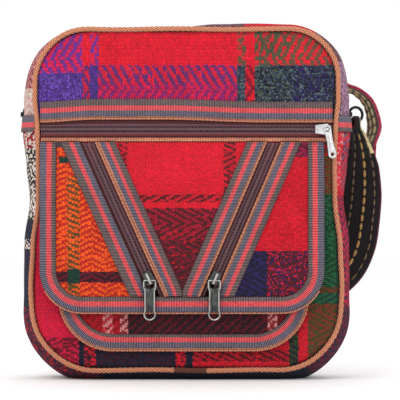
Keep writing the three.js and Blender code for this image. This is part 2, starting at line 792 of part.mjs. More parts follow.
// A folded tab, seen from above, whose base lies on the gusset and whose hole holds the ring's wire
function tabGeometry() {
  const shape = new THREE.Shape();
  shape.moveTo(0, -tabWall);
  shape.lineTo(tabWall, -tabWall);
  shape.absarc(tabWall, 0, tabWall, -0.5 * Math.PI, 0.5 * Math.PI, false);
  shape.lineTo(0, tabWall);
  shape.closePath();
  shape.holes.push(ringHole(tabWall, 0, tabHole));
  const geometry = new THREE.ExtrudeGeometry(shape, {
    depth: tabWidth, bevelEnabled: false, curveSegments: tabSegments,
  });
  geometry.translate(0, 0, -tabWidth / 2);
  return geometry;
}

// The tabs sit towards the back and lean with the gusset there: place on the gusset, and the directions
// out of it and back along it
function tabPlace(side, behind) {
  const slope = (2 * sideOut(ringHeight) * behind) / gussetHalfDepth ** 2;
  const turn = Math.atan(slope);
  const out = new THREE.Vector3(side * Math.cos(turn), Math.sin(turn), 0);
  const back = new THREE.Vector3(-side * Math.sin(turn), Math.cos(turn), 0);
  const base = new THREE.Vector3(side * gussetFace(behind), behind, ringHeight).addScaledVector(out, gap);
  return { turn, out, back, base };
}

// The right ring stands out from the bag; the left one is drawn backwards along it
const right = tabPlace(1, rightTabBehind);
const left = tabPlace(-1, leftTabBehind);
const rightRing = right.base.clone().addScaledVector(right.out, tabWall + ringRadius);
const leftRing = left.base.clone().addScaledVector(left.out, tabWall).addScaledVector(left.back, ringRadius);
const ringShape = () => new THREE.TorusGeometry(ringRadius, ringWire, 6, ringSegments);

const rightTab = add('tab_right', tabGeometry(), looks.strap);
rightTab.position.copy(right.base);
rightTab.rotation.z = right.turn;
const ringOnRight = add('ring_right', ringShape(), looks.blackMetal);
ringOnRight.position.copy(rightRing);
ringOnRight.rotation.set(Math.PI / 2, 0, right.turn, 'ZYX');
const leftTab = add('tab_left', tabGeometry(), looks.strap);
leftTab.position.copy(left.base);
leftTab.rotation.z = Math.PI - left.turn;
const ringOnLeft = add('ring_left', ringShape(), looks.blackMetal);
ringOnLeft.position.copy(leftRing);
ringOnLeft.rotation.set(0, Math.PI / 2, -left.turn, 'ZYX');

// Strap: the front strand drops from the right ring and goes behind the bag, turns back there, comes up
// as the second strand, arcs over at the top and crosses behind the bag to the left ring.
// across: share of the half width; rise: height over the rings as a share of the strap's drop; behind:
// distance from the back's face as a share of the half depth; wide: share of the strap's width; face:
// direction of the width.
const strapRows = [
  { across: 1.146, behind: -0.42, rise: -0.086, wide: 0.32, face: [1, 0, 0] },
  { across: 1.165, behind: -0.42, rise: -0.168, wide: 0.5, face: [1, -0.1, 0] },
  { across: 1.175, behind: -0.36, rise: -0.268, wide: 0.8, face: [0.96, -0.28, 0] },
  { across: 1.175, behind: -0.2, rise: -0.406, wide: 0.97, face: [0.93, -0.36, 0] },
  { across: 1.16, behind: 0.05, rise: -0.552, wide: 1, face: [0.95, -0.3, 0] },
  { across: 1.13, behind: 0.18, rise: -0.689, wide: 1, face: [0.95, -0.1, -0.2] },
  { across: 1.06, behind: 0.2, rise: -0.799, wide: 1, face: [0.8, 0, -0.6] },
  { across: 0.9, behind: 0.16, rise: -0.896, wide: 1, face: [0.55, 0, -0.83] },
  { across: 0.66, behind: 0.13, rise: -0.963, wide: 1, face: [0.3, 0, -0.95] },
  { across: 0, behind: 0.1, rise: -1, wide: 1, face: [0, 0, -1] },
  { across: -0.4, behind: 0.1, rise: -1, wide: 1, face: [0, 0, -1] },
  { across: -0.7, behind: 0.26, rise: -1, wide: 1, face: [0, 0, -1] },
  { across: -0.62, behind: 0.4, rise: -1, wide: 1, face: [0, 0, -1] },
  { across: -0.4, behind: 0.36, rise: -1, wide: 1, face: [0, 0, -1] },
  { across: 0, behind: 0.28, rise: -1, wide: 1, face: [0, 0, -1] },
  { across: 0.66, behind: 0.3, rise: -0.963, wide: 1, face: [0.3, 0, -0.95] },
  { across: 0.9, behind: 0.34, rise: -0.896, wide: 1, face: [0.55, 0, -0.83] },
  { across: 1.06, behind: 0.4, rise: -0.799, wide: 1, face: [0.8, 0, -0.6] },
  { across: 1.12, behind: 0.42, rise: -0.689, wide: 1, face: [0.95, -0.1, -0.2] },
  { across: 1.15, behind: 0.4, rise: -0.552, wide: 1, face: [0.95, -0.25, 0] },
  { across: 1.18, behind: 0.42, rise: -0.406, wide: 1, face: [0.8, -0.6, 0] },
  { across: 1.2, behind: 0.46, rise: -0.278, wide: 1, face: [0.6, -0.8, 0] },
  { across: 1.235, behind: 0.52, rise: -0.159, wide: 1, face: [0.42, -0.9, 0] },
  { across: 1.264, behind: 0.58, rise: -0.076, wide: 1, face: [0.38, -0.92, 0] },
  { across: 1.27, behind: 0.64, rise: 0, wide: 1, face: [0.32, -0.94, 0] },
  { across: 1.24, behind: 0.7, rise: 0.064, wide: 1, face: [0.16, -0.98, 0] },
  { across: 1.185, behind: 0.74, rise: 0.114, wide: 1, face: [0.05, -1, 0] },
  { across: 1.105, behind: 0.76, rise: 0.152, wide: 1, face: [0, -1, 0.05] },
  { across: 0.98, behind: 0.74, rise: 0.174, wide: 1, face: [0, -1, 0.1] },
  { across: 0.74, behind: 0.6, rise: 0.183, wide: 1, face: [0, -0.85, 0.5] },
  { across: 0.42, behind: 0.38, rise: 0.18, wide: 1, face: [0, -0.45, 0.9] },
  { across: 0.08, behind: 0.2, rise: 0.171, wide: 1, face: [0, -0.1, 1] },
  { across: -0.35, behind: 0.18, rise: 0.143, wide: 1, face: [0, 0, 1] },
  { across: -0.7, behind: 0.24, rise: 0.099, wide: 0.94, face: [0.1, 0, 1] },
  { across: -0.92, behind: 0.36, rise: 0.055, wide: 0.72, face: [0.1, 0, 1] },
  { across: -1.03, behind: 0.27, rise: 0.019, wide: 0.4, face: [0.1, 0, 1] },
];

const foldRadius = ringWire + gap * 2 + strapThickness / 2 + ringRadius
  - Math.sqrt(ringRadius ** 2 - (strapEndWidth / 2) ** 2);

// The loose tail beside a ring. along: distance from the wire; aside: share of the fold's radius; wide:
// share of the end's width.
const tailRows = [
  { along: 14, aside: 1.9, wide: 2 }, { along: 8, aside: 1.5, wide: 1.5 }, { along: 3, aside: 1, wide: 1 },
];
const foldStep = 36;

// The end that wraps a ring: centre is the wire's middle, pull points from the ring along the strap and
// back points to the side where the loose tail lies
function strapFold(centre, pull, back, face) {
  const rows = [];
  const put = (along, aside, width) => rows.push({
    point: centre.clone().addScaledVector(pull, along).addScaledVector(back, aside),
    width,
    face: new THREE.Vector3(...face),
  });
  tailRows.forEach((row) => put(row.along, foldRadius * row.aside, strapEndWidth * row.wide));
  for (let angle = 0; angle <= 180; angle += foldStep) {
    const turn = THREE.MathUtils.degToRad(angle);
    put(-foldRadius * Math.sin(turn), foldRadius * Math.cos(turn), strapEndWidth);
  }
  put(tailRows[2].along, -foldRadius, strapEndWidth);
  return rows;
}

function strapPath() {
  const down = new THREE.Vector3(0, 0, -1);
  const backward = new THREE.Vector3(0, 1, 0);
  const inward = new THREE.Vector3(1, 0, 0);
  const rightWire = rightRing.clone().addScaledVector(down, ringRadius);
  const leftWire = leftRing.clone().addScaledVector(left.back, ringRadius);
  const rightFold = strapFold(rightWire, down, right.back, right.out.toArray());
  const leftFold = strapFold(leftWire, backward, inward, [0, 0, 1]);
  const middle = strapRows.map((row) => {
    const x = row.across * bodyHalfWidth;
    const z = ringHeight + row.rise * strapDrop;
    const y = faceDepth(x, z) + row.behind * seamHalfDepth;
    const face = new THREE.Vector3(...row.face);
    return { point: new THREE.Vector3(x, y, z), width: row.wide * strapWidth, face };
  });
  return [...rightFold, ...middle, ...leftFold.reverse()];
}

function strapGeometry() {
  const rows = strapPath();
  const curve = new THREE.CatmullRomCurve3(rows.map((row) => row.point), false, 'centripetal');
  const steps = 2;
  const count = rows.length - 1;
  const rings = [];
  for (let i = 0; i <= count * steps; i += 1) {
    const at = i / steps;
    const [n, m] = [Math.floor(at), Math.min(Math.floor(at) + 1, count)];
    const t = at - n;
    const point = curve.getPoint(at / count);
    const along = curve.getTangent(at / count);
    const face = rows[n].face.clone().lerp(rows[m].face, t);
    face.addScaledVector(along, -face.dot(along)).normalize();
    const out = new THREE.Vector3().crossVectors(along, face);
    const half = THREE.MathUtils.lerp(rows[n].width, rows[m].width, t) / 2;
    const corner = (a, b) => point.clone()
      .addScaledVector(face, a * half)
      .addScaledVector(out, (b * strapThickness) / 2);
    rings.push([corner(-1, -1), corner(1, -1), corner(1, 1), corner(-1, 1)]);
  }
  return loft(rings, false);
}

add('strap', strapGeometry(), looks.strap);

export default bag;
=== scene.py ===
import math

import bmesh
import bpy
import numpy as np
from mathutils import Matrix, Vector
from mathutils.geometry import delaunay_2d_cdt


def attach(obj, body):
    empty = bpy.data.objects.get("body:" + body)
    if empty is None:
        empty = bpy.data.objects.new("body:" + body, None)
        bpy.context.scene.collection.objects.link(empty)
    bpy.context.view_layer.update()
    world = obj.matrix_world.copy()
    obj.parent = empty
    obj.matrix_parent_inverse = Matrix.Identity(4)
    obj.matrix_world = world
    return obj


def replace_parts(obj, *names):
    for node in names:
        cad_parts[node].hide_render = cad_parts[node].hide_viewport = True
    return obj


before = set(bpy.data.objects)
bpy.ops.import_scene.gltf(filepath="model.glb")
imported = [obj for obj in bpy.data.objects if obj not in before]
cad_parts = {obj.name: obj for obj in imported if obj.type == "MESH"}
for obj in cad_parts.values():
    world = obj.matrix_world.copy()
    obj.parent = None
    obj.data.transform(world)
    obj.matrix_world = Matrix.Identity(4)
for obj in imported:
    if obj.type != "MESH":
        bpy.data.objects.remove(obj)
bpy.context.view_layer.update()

# Lengths below are millimetres; MM turns them into the scene's metres.
MM = 0.001

# Camera: the photograph shows 0.8 mm of the front to each of its 400 pixels
PHOTO_PIXELS = 400
MM_PER_PIXEL = 0.8
CAMERA_AWAY = 2200
CAMERA_ACROSS = 10.8
CAMERA_HEIGHT = 143.7
FRONT_PLANE = 28

# Body, as in the model that the frame holds
HALF_WIDTH = 121
PIPING_LOW = 8
PIPING_HIGH = 280
SEAM = 35
TOP_LEFT = 43
TOP_RIGHT = 39
BOTTOM_CORNER = 48
WAIST = 3
FACE_BULGE = 6
SIDE_BULGE = 9
TOP_BULGE = 4
BOTTOM_BULGE = 13
CLOTH = 2.4
RIBBON = 1.2
TAPE = 1
PIPING = 2
GAP = 0.3

# Main zip
ZIP_Z = 200
ZIP_OPEN = 6.5
TRIM_HIGH = 15.5
EDGE_HIGH = 3.6
MAIN_SLIDER_X = 108
ARCH_RISE = 2.2
TAPE_SINK = 1.4

# Pockets
TRIM_WIDE = 13
UP_LEFT, UP_RIGHT, UP_TOP, UP_BOTTOM, UP_CORNER = -116.5, 109.5, 189.6, 54, 34
POCKET_SPACE = 2.4
POCKET_PLUMP = 3
LIFT_LENGTH = 36
LOW_LEFT, LOW_RIGHT, LOW_TOP, LOW_BOTTOM, LOW_CORNER = -101.5, 97, 136, 24, 43

# The upper pocket's tan braid shows along its bottom only
BRAID_TOP = 72

# Slanted zips; each ribbon lies 1.2 mm further out than in the model that the frame holds
TAPE_HALF = 6.2
SLANT_TRIM = 13.6
ZIPS = {"left": (-78.5, 24.4), "right": (69.6, -23.5)}
SLANT_SLIDER_Z = 82
COIL = 1.4
POST = 2.4

# Gusset band, strap and rings
BAND_Z, BAND_HIGH = 205, 13
STRAP_WIDE, STRAP_THICK, STRAP_END = 38, 2.5, 4.8
STRAP_DROP = 155.3
RING, WIRE, RING_Z = 6, 1.2, 213.5
RIGHT_RING, RIGHT_AXIS = np.array([138.135, 20.436, RING_Z]), np.array([0.37996, -0.925, 0])
LEFT_RING, LEFT_AXIS = np.array([-130.844, 22.694, RING_Z]), np.array([0.93272, -0.3606, 0])

# Tan cord at the edges of the ribbons
ROPE, ROPE_STEP, ROPE_PITCH = 0.75, 0.5, 3.6

# How deep a seam pulls the cloth in, and how far from the seam that fades
SEAM_SINK, SEAM_REACH = 1.2, 3.0

# Dark wrapping where the piping's ends join, at the bottom
JOIN_LEFT, JOIN_RIGHT, JOIN_TOP = -9, 17, 25

# Distance between a mesh's points
SPACING = 2.5

ACROSS, BACKWARD, UP = np.eye(3)

MIDDLE_Z = (PIPING_HIGH + PIPING_LOW) / 2
HALF_HIGH = (PIPING_HIGH - PIPING_LOW) / 2
LOWER_STACK = GAP + CLOTH + GAP + RIBBON


# Colours, judged one by one, as sRGB numbers up to 255

def linear(r, g, b):
    parts = [c / 255 for c in (r, g, b)]
    return tuple(c / 12.92 if c <= 0.04045 else ((c + 0.055) / 1.055) ** 2.4 for c in parts) + (1.0,)


INK = {name: linear(*rgb) for name, rgb in dict(
    red=(226, 22, 46), red2=(196, 16, 36), crimson=(220, 22, 66), blood=(140, 10, 26), purple=(90, 50, 150),
    violet=(46, 30, 92), blue=(66, 44, 112), green=(72, 84, 62), slate=(56, 66, 90), slate_dark=(36, 44, 56),
    slate_light=(92, 112, 112), orange=(250, 92, 28), vermilion=(188, 24, 28), forest=(34, 102, 64),
    forest_dark=(20, 66, 44), teal=(14, 52, 52), brown=(62, 26, 30), umber=(134, 50, 36),
    maroon=(112, 16, 40), wine=(66, 16, 30), navy=(30, 28, 58), ink=(22, 24, 42), magenta=(172, 22, 84),
    olive=(84, 82, 40), moss=(52, 68, 34), cream=(232, 216, 204), black=(22, 20, 30),
    pink_pale=(216, 158, 150), blush=(226, 150, 150), mauve=(146, 96, 122), grey=(112, 100, 104),
    trim_grey=(84, 80, 100), trim_pink=(220, 62, 72), trim_brown=(90, 72, 76), tan=(206, 128, 94),
    cord=(208, 128, 90), tape=(80, 36, 40), tape_red=(112, 48, 46), tape_edge=(104, 72, 80),
    coil=(116, 84, 92), strap=(24, 21, 24), dash=(206, 164, 88), dash_cream=(250, 232, 176),
    dash_dim=(128, 104, 62), strap_edge=(84, 22, 40), strap_olive=(74, 64, 46), garnet=(100, 14, 32),
    claret=(168, 16, 48), garnet_light=(128, 14, 42), iris=(112, 76, 176), plum=(118, 32, 104),
    deep_red=(206, 12, 36), strap_red=(186, 52, 84), join=(64, 18, 22), lilac=(184, 146, 178),
).items()}


# Faces of the bag, as distances from its middle plane

def crown(u):
    return 1 - np.minimum(np.abs(u), 1) ** 2.6


def smoothstep(x, low, high):
    t = np.clip((x - low) / (high - low), 0, 1)
    return t * t * (3 - 2 * t)


def ripple(x, z):
    """Gentle unevenness of hand-made cloth, the same for every layer above it."""
    return (0.35 * np.sin(x / 21 + 0.6) * np.sin(z / 17 + 1.1)
            + 0.25 * np.sin(x / 9.5 + z / 23) + 0.2 * np.sin(z / 8.7 - x / 31 + 2))


def swell(x, z):
    return crown(x / HALF_WIDTH) * crown((z - MIDDLE_Z) / HALF_HIGH)


def face(x, z):
    return SEAM + FACE_BULGE * swell(x, z)


def front(x, z):
    return face(x, z) + ripple(x, z) * np.minimum(swell(x, z) * 3, 1)


def stand(x, z):
    lift = smoothstep(UP_TOP - z, 0, LIFT_LENGTH) * (LOWER_STACK + POCKET_SPACE)
    middle, half = (UP_LEFT + UP_RIGHT) / 2, (UP_RIGHT - UP_LEFT) / 2
    centre = (UP_TOP + UP_BOTTOM) / 2
    plump = POCKET_PLUMP * crown((x - middle) / half) * crown((z - centre) / (UP_TOP - centre))
    return front(x, z) + GAP + lift + plump


# Tables of a share of the height, or across the top from -1 to 1, and how far the cloth stands out there
WAIST_ROWS = [(0, 0), (0.13, 0.6), (0.24, 1), (0.36, 0.5), (0.5, -0.9), (0.62, -1), (0.72, -0.7), (0.8, 0),
              (1, 0)]
SIDE_ROWS = [(0, 1.15), (0.12, 1.1), (0.25, 0.9), (0.5, 1.02), (0.6, 1.28), (0.7, 1.5), (0.79, 1.25),
             (0.9, 0.88), (1, 0.85)]
TOP_ROWS = [(-1, 0.7), (-0.1, 0.65), (0.2, 1.5), (0.45, 1.65), (0.7, 1.45), (1, 0.9)]


def follow(rows, at):
    """A table of places and values, eased from each row to the next."""
    at = np.clip(np.asarray(at, float), rows[0][0], rows[-1][0])
    out = np.zeros_like(at)
    for (low, a), (high, b) in zip(rows, rows[1:]):
        inside = (at >= low) & (at <= high)
        out = np.where(inside, a + (b - a) * smoothstep(at, low, high), out)
    return out


def height_share(z):
    return (np.asarray(z, float) - PIPING_LOW) / (PIPING_HIGH - PIPING_LOW)


def waist(z):
    return 1 + follow(WAIST_ROWS, height_share(z)) * WAIST / HALF_WIDTH


def arch(x):
    """The upper edge of the main zip lifts a little left of the middle."""
    return ARCH_RISE * smoothstep(x, -116, -72) * (1 - smoothstep(x, -20, 60))


def line(start, end, steps):
    """Places from one point up to just before another."""
    return [tuple(p) for p in np.linspace(start, end, steps, endpoint=False)]


def arc(cx, cy, r, start, end, steps=16):
    turns = np.radians(np.linspace(start, end, steps + 1))
    return list(zip(cx + r * np.cos(turns), cy + r * np.sin(turns)))


def body_outline(inset=0, spacing=3.0):
    """Points of the body's rounded outline with their outward directions: x, z, nx, nz."""
    side, low, high = HALF_WIDTH - inset, PIPING_LOW + inset, PIPING_HIGH - inset
    top_right, top_left, bottom = TOP_RIGHT - inset, TOP_LEFT - inset, BOTTOM_CORNER - inset
    corners = [(side - bottom, low + bottom, bottom, -90), (side - top_right, high - top_right, top_right, 0),
               (top_left - side, high - top_left, top_left, 90), (bottom - side, low + bottom, bottom, 180)]
    rows = []
    for n, (cx, cz, r, turn) in enumerate(corners):
        steps = max(int(r * math.pi / 2 / spacing), 6)
        for a in np.radians(np.linspace(turn, turn + 90, steps + 1)):
            way = np.array([math.cos(a), math.sin(a)])
            rows.append((*(cx, cz) + r * way, *way))
        next_x, next_z, next_r, _ = corners[(n + 1) % 4]
        start, end = rows[-1][:2], (next_x, next_z) + next_r * way
        steps = max(int(math.dist(end, start) / spacing), 2)
        rows += [(*p, *way) for p in line(start, end, steps)[1:]]
    rows = np.array(rows)
    rows[:, 0] *= waist(rows[:, 1])
    return rows


def pocket_path(left, right, bottom, top, corner, inset=0.0):
    """A pocket's U-shaped edge, from its top left corner round the bottom to its top right corner."""
    r, low, near, far = corner - inset, bottom + corner, left + corner, right - corner
    side, base = [max(int(reach / SPACING), 4) for reach in (top - low, far - near)]
    turn = max(int(corner * math.pi / 2 / SPACING), 8)
    left, right, bottom = left + inset, right - inset, bottom + inset
    return np.array(line((left, top), (left, low), side) + arc(near, low, r, 180, 270, turn)[:-1]
                    + line((near, bottom), (far, bottom), base) + arc(far, low, r, 270, 360, turn)[:-1]
                    + line((right, low), (right, top), side) + [(right, top)])


def slant(name, z, offset=0.0):
    """Across at a height, for a distance measured square to a slanted zip."""
    across, lean = ZIPS[name]
    a = math.radians(lean)
    return across + (UP_TOP - z) * math.tan(a) + offset / math.cos(a)


# Mesh builders

def unit(v):
    v = np.asarray(v, float)
    return v / np.linalg.norm(v, axis=-1, keepdims=True)


def show(name, data):
    thing = bpy.data.objects.new(name, data)
    bpy.context.scene.collection.objects.link(thing)
    return thing


def build(name, points, faces, uvs, material, body="root"):
    mesh = bpy.data.meshes.new(name)
    mesh.from_pydata((np.asarray(points) * MM).tolist(), [], faces)
    layer = mesh.uv_layers.new(name="cloth")
    layer.data.foreach_set("uv", np.asarray(uvs, dtype=np.float32).ravel())
    mesh.materials.append(material)
    mesh.polygons.foreach_set("use_smooth", [True] * len(mesh.polygons))
    bm = bmesh.new()
    bm.from_mesh(mesh)
    bmesh.ops.recalc_face_normals(bm, faces=bm.faces)
    bm.to_mesh(mesh)
    bm.free()
    piece = show(name, mesh)
    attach(piece, body)
    return piece


def tube_faces(rows, sides, closed=False, base=0):
    """Faces round a tube given as rows of points; an open tube gets its ends too."""
    faces = []
    for i in range(rows if closed else rows - 1):
        m = (i + 1) % rows
        for j in range(sides):
            q = (j + 1) % sides
            faces.append((i * sides + j, i * sides + q, m * sides + q, m * sides + j))
    if not closed:
        faces += [tuple(range(sides - 1, -1, -1)), tuple(range((rows - 1) * sides, rows * sides))]
    return [tuple(base + i for i in f) for f in faces]


def thicken(faces, count):
    """Faces of a sheet, of its copy behind it and of the wall between their borders."""
    edges = {}
    for f in faces:
        for pair in zip(f, f[1:] + f[:1]):
            pair = (min(pair), max(pair))
            edges[pair] = edges.get(pair, 0) + 1
    back = [tuple(count + i for i in reversed(f)) for f in faces]
    return faces + back + [(a, b, count + b, count + a) for (a, b), n in edges.items() if n == 1]


def there_and_back(values):
    """Values over the top of a band, back under it and at its start again."""
    return np.concatenate([values, values[::-1], values[:1]])


def loft(name, rings, along, around, material, closed=False):
    """Joins rings of points, n by k by 3; along and around give each ring's and each point's UV."""
    n, k = rings.shape[:2]
    corners = ((0, 0), (0, 1), (1, 1), (1, 0))
    quads = n if closed else n - 1
    uvs = [(along[i + a], around[j + b]) for i in range(quads) for j in range(k) for a, b in corners]
    if not closed:
        uvs += [(along[0], around[j]) for j in range(k - 1, -1, -1)]
        uvs += [(along[-1], around[j]) for j in range(k)]
    return build(name, rings.reshape(-1, 3), tube_faces(n, k, closed), uvs, material)


def lengths(points, closed=False):
    steps = np.linalg.norm(np.diff(np.vstack([points, points[:1]]) if closed else points, axis=0), axis=1)
    return np.concatenate([[0], np.cumsum(steps)])


def tube(path, radius, sides, closed=False, pitch=2.0, depth=0.0):
    """Rings round a 3-D path, how far they are along it, and the way round them. With a depth, two
    ridges wind round it as in a twisted cord."""
    path = np.asarray(path, float)
    ahead, behind = np.roll(path, -1, axis=0), np.roll(path, 1, axis=0)
    if not closed:
        ahead[-1], behind[0] = path[-1], path[0]
    along = unit(ahead - behind)
    run = lengths(path, closed)
    first = np.cross(along, BACKWARD)
    weak = np.linalg.norm(first, axis=1) < 0.2
    first[weak] = np.cross(along[weak], UP)
    first = unit(first)
    second = np.cross(along, first)
    angles = np.linspace(0, 2 * math.pi, sides, endpoint=False)
    turns = run[-1] / pitch
    twist = 2 * math.pi * (round(turns) if closed else turns) / run[-1]
    r = radius * (1 + depth * np.cos(2 * angles[None, :] - twist * run[:len(path), None]))
    rings = path[:, None, :] + (r * np.cos(angles))[:, :, None] * first[:, None, :]
    rings += (r * np.sin(angles))[:, :, None] * second[:, None, :]
    return rings, run, np.linspace(0, 2 * math.pi * radius, sides + 1)


def even(points, spacing, closed=False):
    """Points spread evenly along a path."""
    points = np.asarray(points, float)
    run = lengths(points, closed)
    loop = np.vstack([points, points[:1]]) if closed else points
    count = max(int(run[-1] / spacing), 2)
    at = np.linspace(0, run[-1], count + (0 if closed else 1), endpoint=not closed)
    return np.column_stack([np.interp(at, run, column) for column in loop.T])


def edge_braid(name, edge, surface, lift, radius=ROPE):
    """Tan cord that lies on a face along an edge."""
    path = np.column_stack([edge[:, 0], -(surface(edge[:, 0], edge[:, 1]) + lift), edge[:, 1]])
    loft("edge_" + name, *tube(path, radius, 8, pitch=ROPE_PITCH, depth=0.24), TAN_EDGE)


def resample(polygon, spacing):
    out = []
    for a, b in zip(polygon, np.roll(polygon, -1, axis=0)):
        steps = max(int(np.linalg.norm(b - a) / spacing + 0.5), 1)
        out += [a + (b - a) * i / steps for i in range(steps)]
    return np.array(out)


def clip(polygon, point, normal):
    """Keeps the part of a polygon on the side that the normal points away from."""
    out = []
    for a, b in zip(polygon, np.roll(polygon, -1, axis=0)):
        da, db = np.dot(a - point, normal), np.dot(b - point, normal)
        if da <= 0:
            out.append(a)
        if da * db < 0:
            out.append(a + (b - a) * da / (da - db))
    return np.array(out)


def near(points, rim):
    """The square of each point's distance from the nearest point of a rim."""
    return np.min(((points[:, None, :] - rim[None]) ** 2).sum(2), axis=1)


def panel(name, outline, surface, material, side=-1):
    """A wall of cloth inside an outline in X and Z, following a face of the bag and sinking along the seam at
    its rim.
    """
    rim = resample(np.asarray(outline, float), SPACING)
    spans = [np.arange(low, high, SPACING) for low, high in zip(rim.min(0), rim.max(0))]
    grid = np.column_stack([axis.ravel() for axis in np.meshgrid(*spans)])
    grid = grid[near(grid, rim) > (0.6 * SPACING) ** 2]
    cloud = [Vector(p) for p in np.vstack([rim, grid])]
    flat, _, faces, *_ = delaunay_2d_cdt(cloud, [], [list(range(len(rim)))], 1, 1e-5)
    used = sorted({i for f in faces for i in f})
    index = {old: new for new, old in enumerate(used)}
    flat = np.array([flat[i] for i in used])
    faces = thicken([tuple(index[i] for i in f) for f in faces], len(flat))
    depth = surface(flat[:, 0], flat[:, 1]) - SEAM_SINK * np.exp(-np.sqrt(near(flat, rim)) / SEAM_REACH)
    layers = [np.column_stack([flat[:, 0], side * d, flat[:, 1]]) for d in (depth, depth - CLOTH)]
    uvs = [tuple(flat[i % len(flat)]) for f in faces for i in f]
    return build(name, np.vstack(layers), faces, uvs, material)


# Places across a ribbon and the share of its thickness at each
SHARES = np.linspace(0, 1, 9)
CREST = 1 - 0.75 * np.abs(SHARES * 2 - 1) ** 6


def ribbon_row(a, b, surface, lift, thick):
    """A row of points across a ribbon, and the row under it on the way back."""
    row = [a + (b - a) * t for t in SHARES]
    top = [(p[0], -(surface(*p) + lift + thick * h), p[1]) for p, h in zip(row, CREST)]
    return top, [(p[0], -(surface(*p) + lift), p[1]) for p in reversed(row)]


def ribbon(name, first, second, surface, lift, material, thick=RIBBON, start=0.0, braid=False):
    """A flat ribbon between two edges given point by point, lying on a face at a lift."""
    rings = [sum(ribbon_row(a, b, surface, lift, thick), []) for a, b in zip(first, second)]
    wide = np.linalg.norm(second - first, axis=1).mean()
    if braid:
        edge_braid(name, even(first, ROPE_STEP), surface, lift + thick * 0.7)
    along = lengths((first + second) / 2)
    return loft(name, np.array(rings, float), along, there_and_back(SHARES) * wide + start, material)


# Materials

def operators(operation):
    """Both methods of an operator: with the value on its left, and on its right."""
    return (lambda value, other: value.shade.math(operation, value, other),
            lambda value, other: value.shade.math(operation, other, value))


class Value:
    """A number in a node material; formulas with it add nodes."""

    def __init__(self, shade, socket):
        self.shade, self.socket = shade, socket

    def __abs__(self):
        return self.shade.math("ABSOLUTE", self)

    __add__, __radd__ = operators("ADD")
    __sub__, __rsub__ = operators("SUBTRACT")
    __mul__, __rmul__ = operators("MULTIPLY")
    __truediv__, __rtruediv__ = operators("DIVIDE")
    __mod__, __rmod__ = operators("FLOORED_MODULO")
    __lt__, __gt__ = operators("LESS_THAN")


class Shade:
    """A node material under construction, with short ways to add nodes."""

    def __init__(self, name, roughness=0.9, metallic=0.0, specular=0.25, sheen=0.0):
        self.material = bpy.data.materials.new(name)
        self.material.use_nodes = True
        self.tree = self.material.node_tree
        self.bsdf = self.tree.nodes["Principled BSDF"]
        for socket, value in (("Roughness", roughness), ("Metallic", metallic),
                              ("Specular IOR Level", specular), ("Sheen Weight", sheen)):
            self.bsdf.inputs[socket].default_value = value

    def node(self, kind, plugs=(), **settings):
        """A new node; plugs are pairs of an input and what goes into it."""
        node = self.tree.nodes.new(kind)
        for key, value in settings.items():
            setattr(node, key, value)
        for socket, value in plugs:
            self.plug(node.inputs[socket], value)
        return node

    def plug(self, socket, value):
        value = getattr(value, "socket", value)
        if isinstance(value, bpy.types.NodeSocket):
            self.tree.links.new(value, socket)
        else:
            socket.default_value = value

    def value(self, *node, output=0, **settings):
        return Value(self, self.node(*node, **settings).outputs[output])

    def math(self, operation, *values, clamp=False):
        return self.value("ShaderNodeMath", enumerate(values), operation=operation, use_clamp=clamp)

    def mix(self, factor, a, b, blend="MIX"):
        plugs = ((0, factor), (6, a), (7, b))
        return self.value("ShaderNodeMix", plugs, output=2, data_type="RGBA", blend_type=blend)

    def blend(self, factor, a, b):
        return self.value("ShaderNodeMix", ((0, factor), (2, a), (3, b)), data_type="FLOAT")

    def split(self, vector):
        parts = self.node("ShaderNodeSeparateXYZ", [(0, vector)])
        return [Value(self, part) for part in parts.outputs]

    def cloth_uv(self):
        return self.split(self.value("ShaderNodeUVMap", uv_map="cloth"))[:2]

    def place(self):
        return self.value("ShaderNodeTexCoord", output="Object")

    def vector(self, x, y, z=0.0):
        return self.value("ShaderNodeCombineXYZ", enumerate((x, y, z)))

    def noise(self, vector, scale, detail=2.0):
        return self.value("ShaderNodeTexNoise", (("Vector", vector), ("Scale", scale), ("Detail", detail)))

    def grain(self, vector, scale, detail=3.0, contrast=2.2):
        """Noise spread out to fill 0 to 1."""
        return self.math("MULTIPLY_ADD", self.noise(vector, scale, detail), contrast, 0.5 - contrast / 2,
                         clamp=True)

    def random(self, value):
        return self.value("ShaderNodeTexWhiteNoise", [("W", value)], noise_dimensions="1D")

    def floor(self, value):
        return self.math("FLOOR", value)

    def wave(self, value, length):
        return self.math("SINE", value * (2 * math.pi / length))

    def ramp(self, value, stops):
        """Colours by position: each stop is where a colour begins."""
        low, high = stops[0][0], stops[-1][0] + 1
        share = self.math("DIVIDE", value - low, high - low, clamp=True)
        node = self.node("ShaderNodeValToRGB", [(0, share)])
        node.color_ramp.interpolation = "CONSTANT"
        points = node.color_ramp.elements
        while len(points) < len(stops):
            points.new(0.5)
        for point, (at, ink) in zip(points, stops):
            point.position = (at - low) / (high - low)
            point.color = INK[ink]
        return node.outputs[0]

    def shaded(self, ink, tone):
        return self.mix(1.0, ink, self.vector(tone, tone, tone), "MULTIPLY")

    def painted_fold_shade(self, ink, reach=4.0, depth=0.62):
        """Paints shade into the colour: darker in folds, at each seam and between parts, by ambient
        occlusion.
        """
        openness = self.value("ShaderNodeAmbientOcclusion", [("Distance", reach * MM)], output="AO", samples=6)
        return self.shaded(ink, 1 - depth + self.math("POWER", openness, 1.6) * depth)

    def inside(self, u, v, start, end, low, high):
        """One inside a box of the cloth, otherwise nought."""
        across = abs(u - (start + end) / 2) < (end - start) / 2
        return across * (abs(v - (low + high) / 2) < (high - low) / 2)

    def bump(self, height, distance, strength):
        plugs = (("Strength", strength), ("Distance", distance * MM), ("Height", height))
        self.plug(self.bsdf.inputs["Normal"], self.value("ShaderNodeBump", plugs))

    def colour(self, value):
        self.plug(self.bsdf.inputs["Base Color"], value)
        return self.material


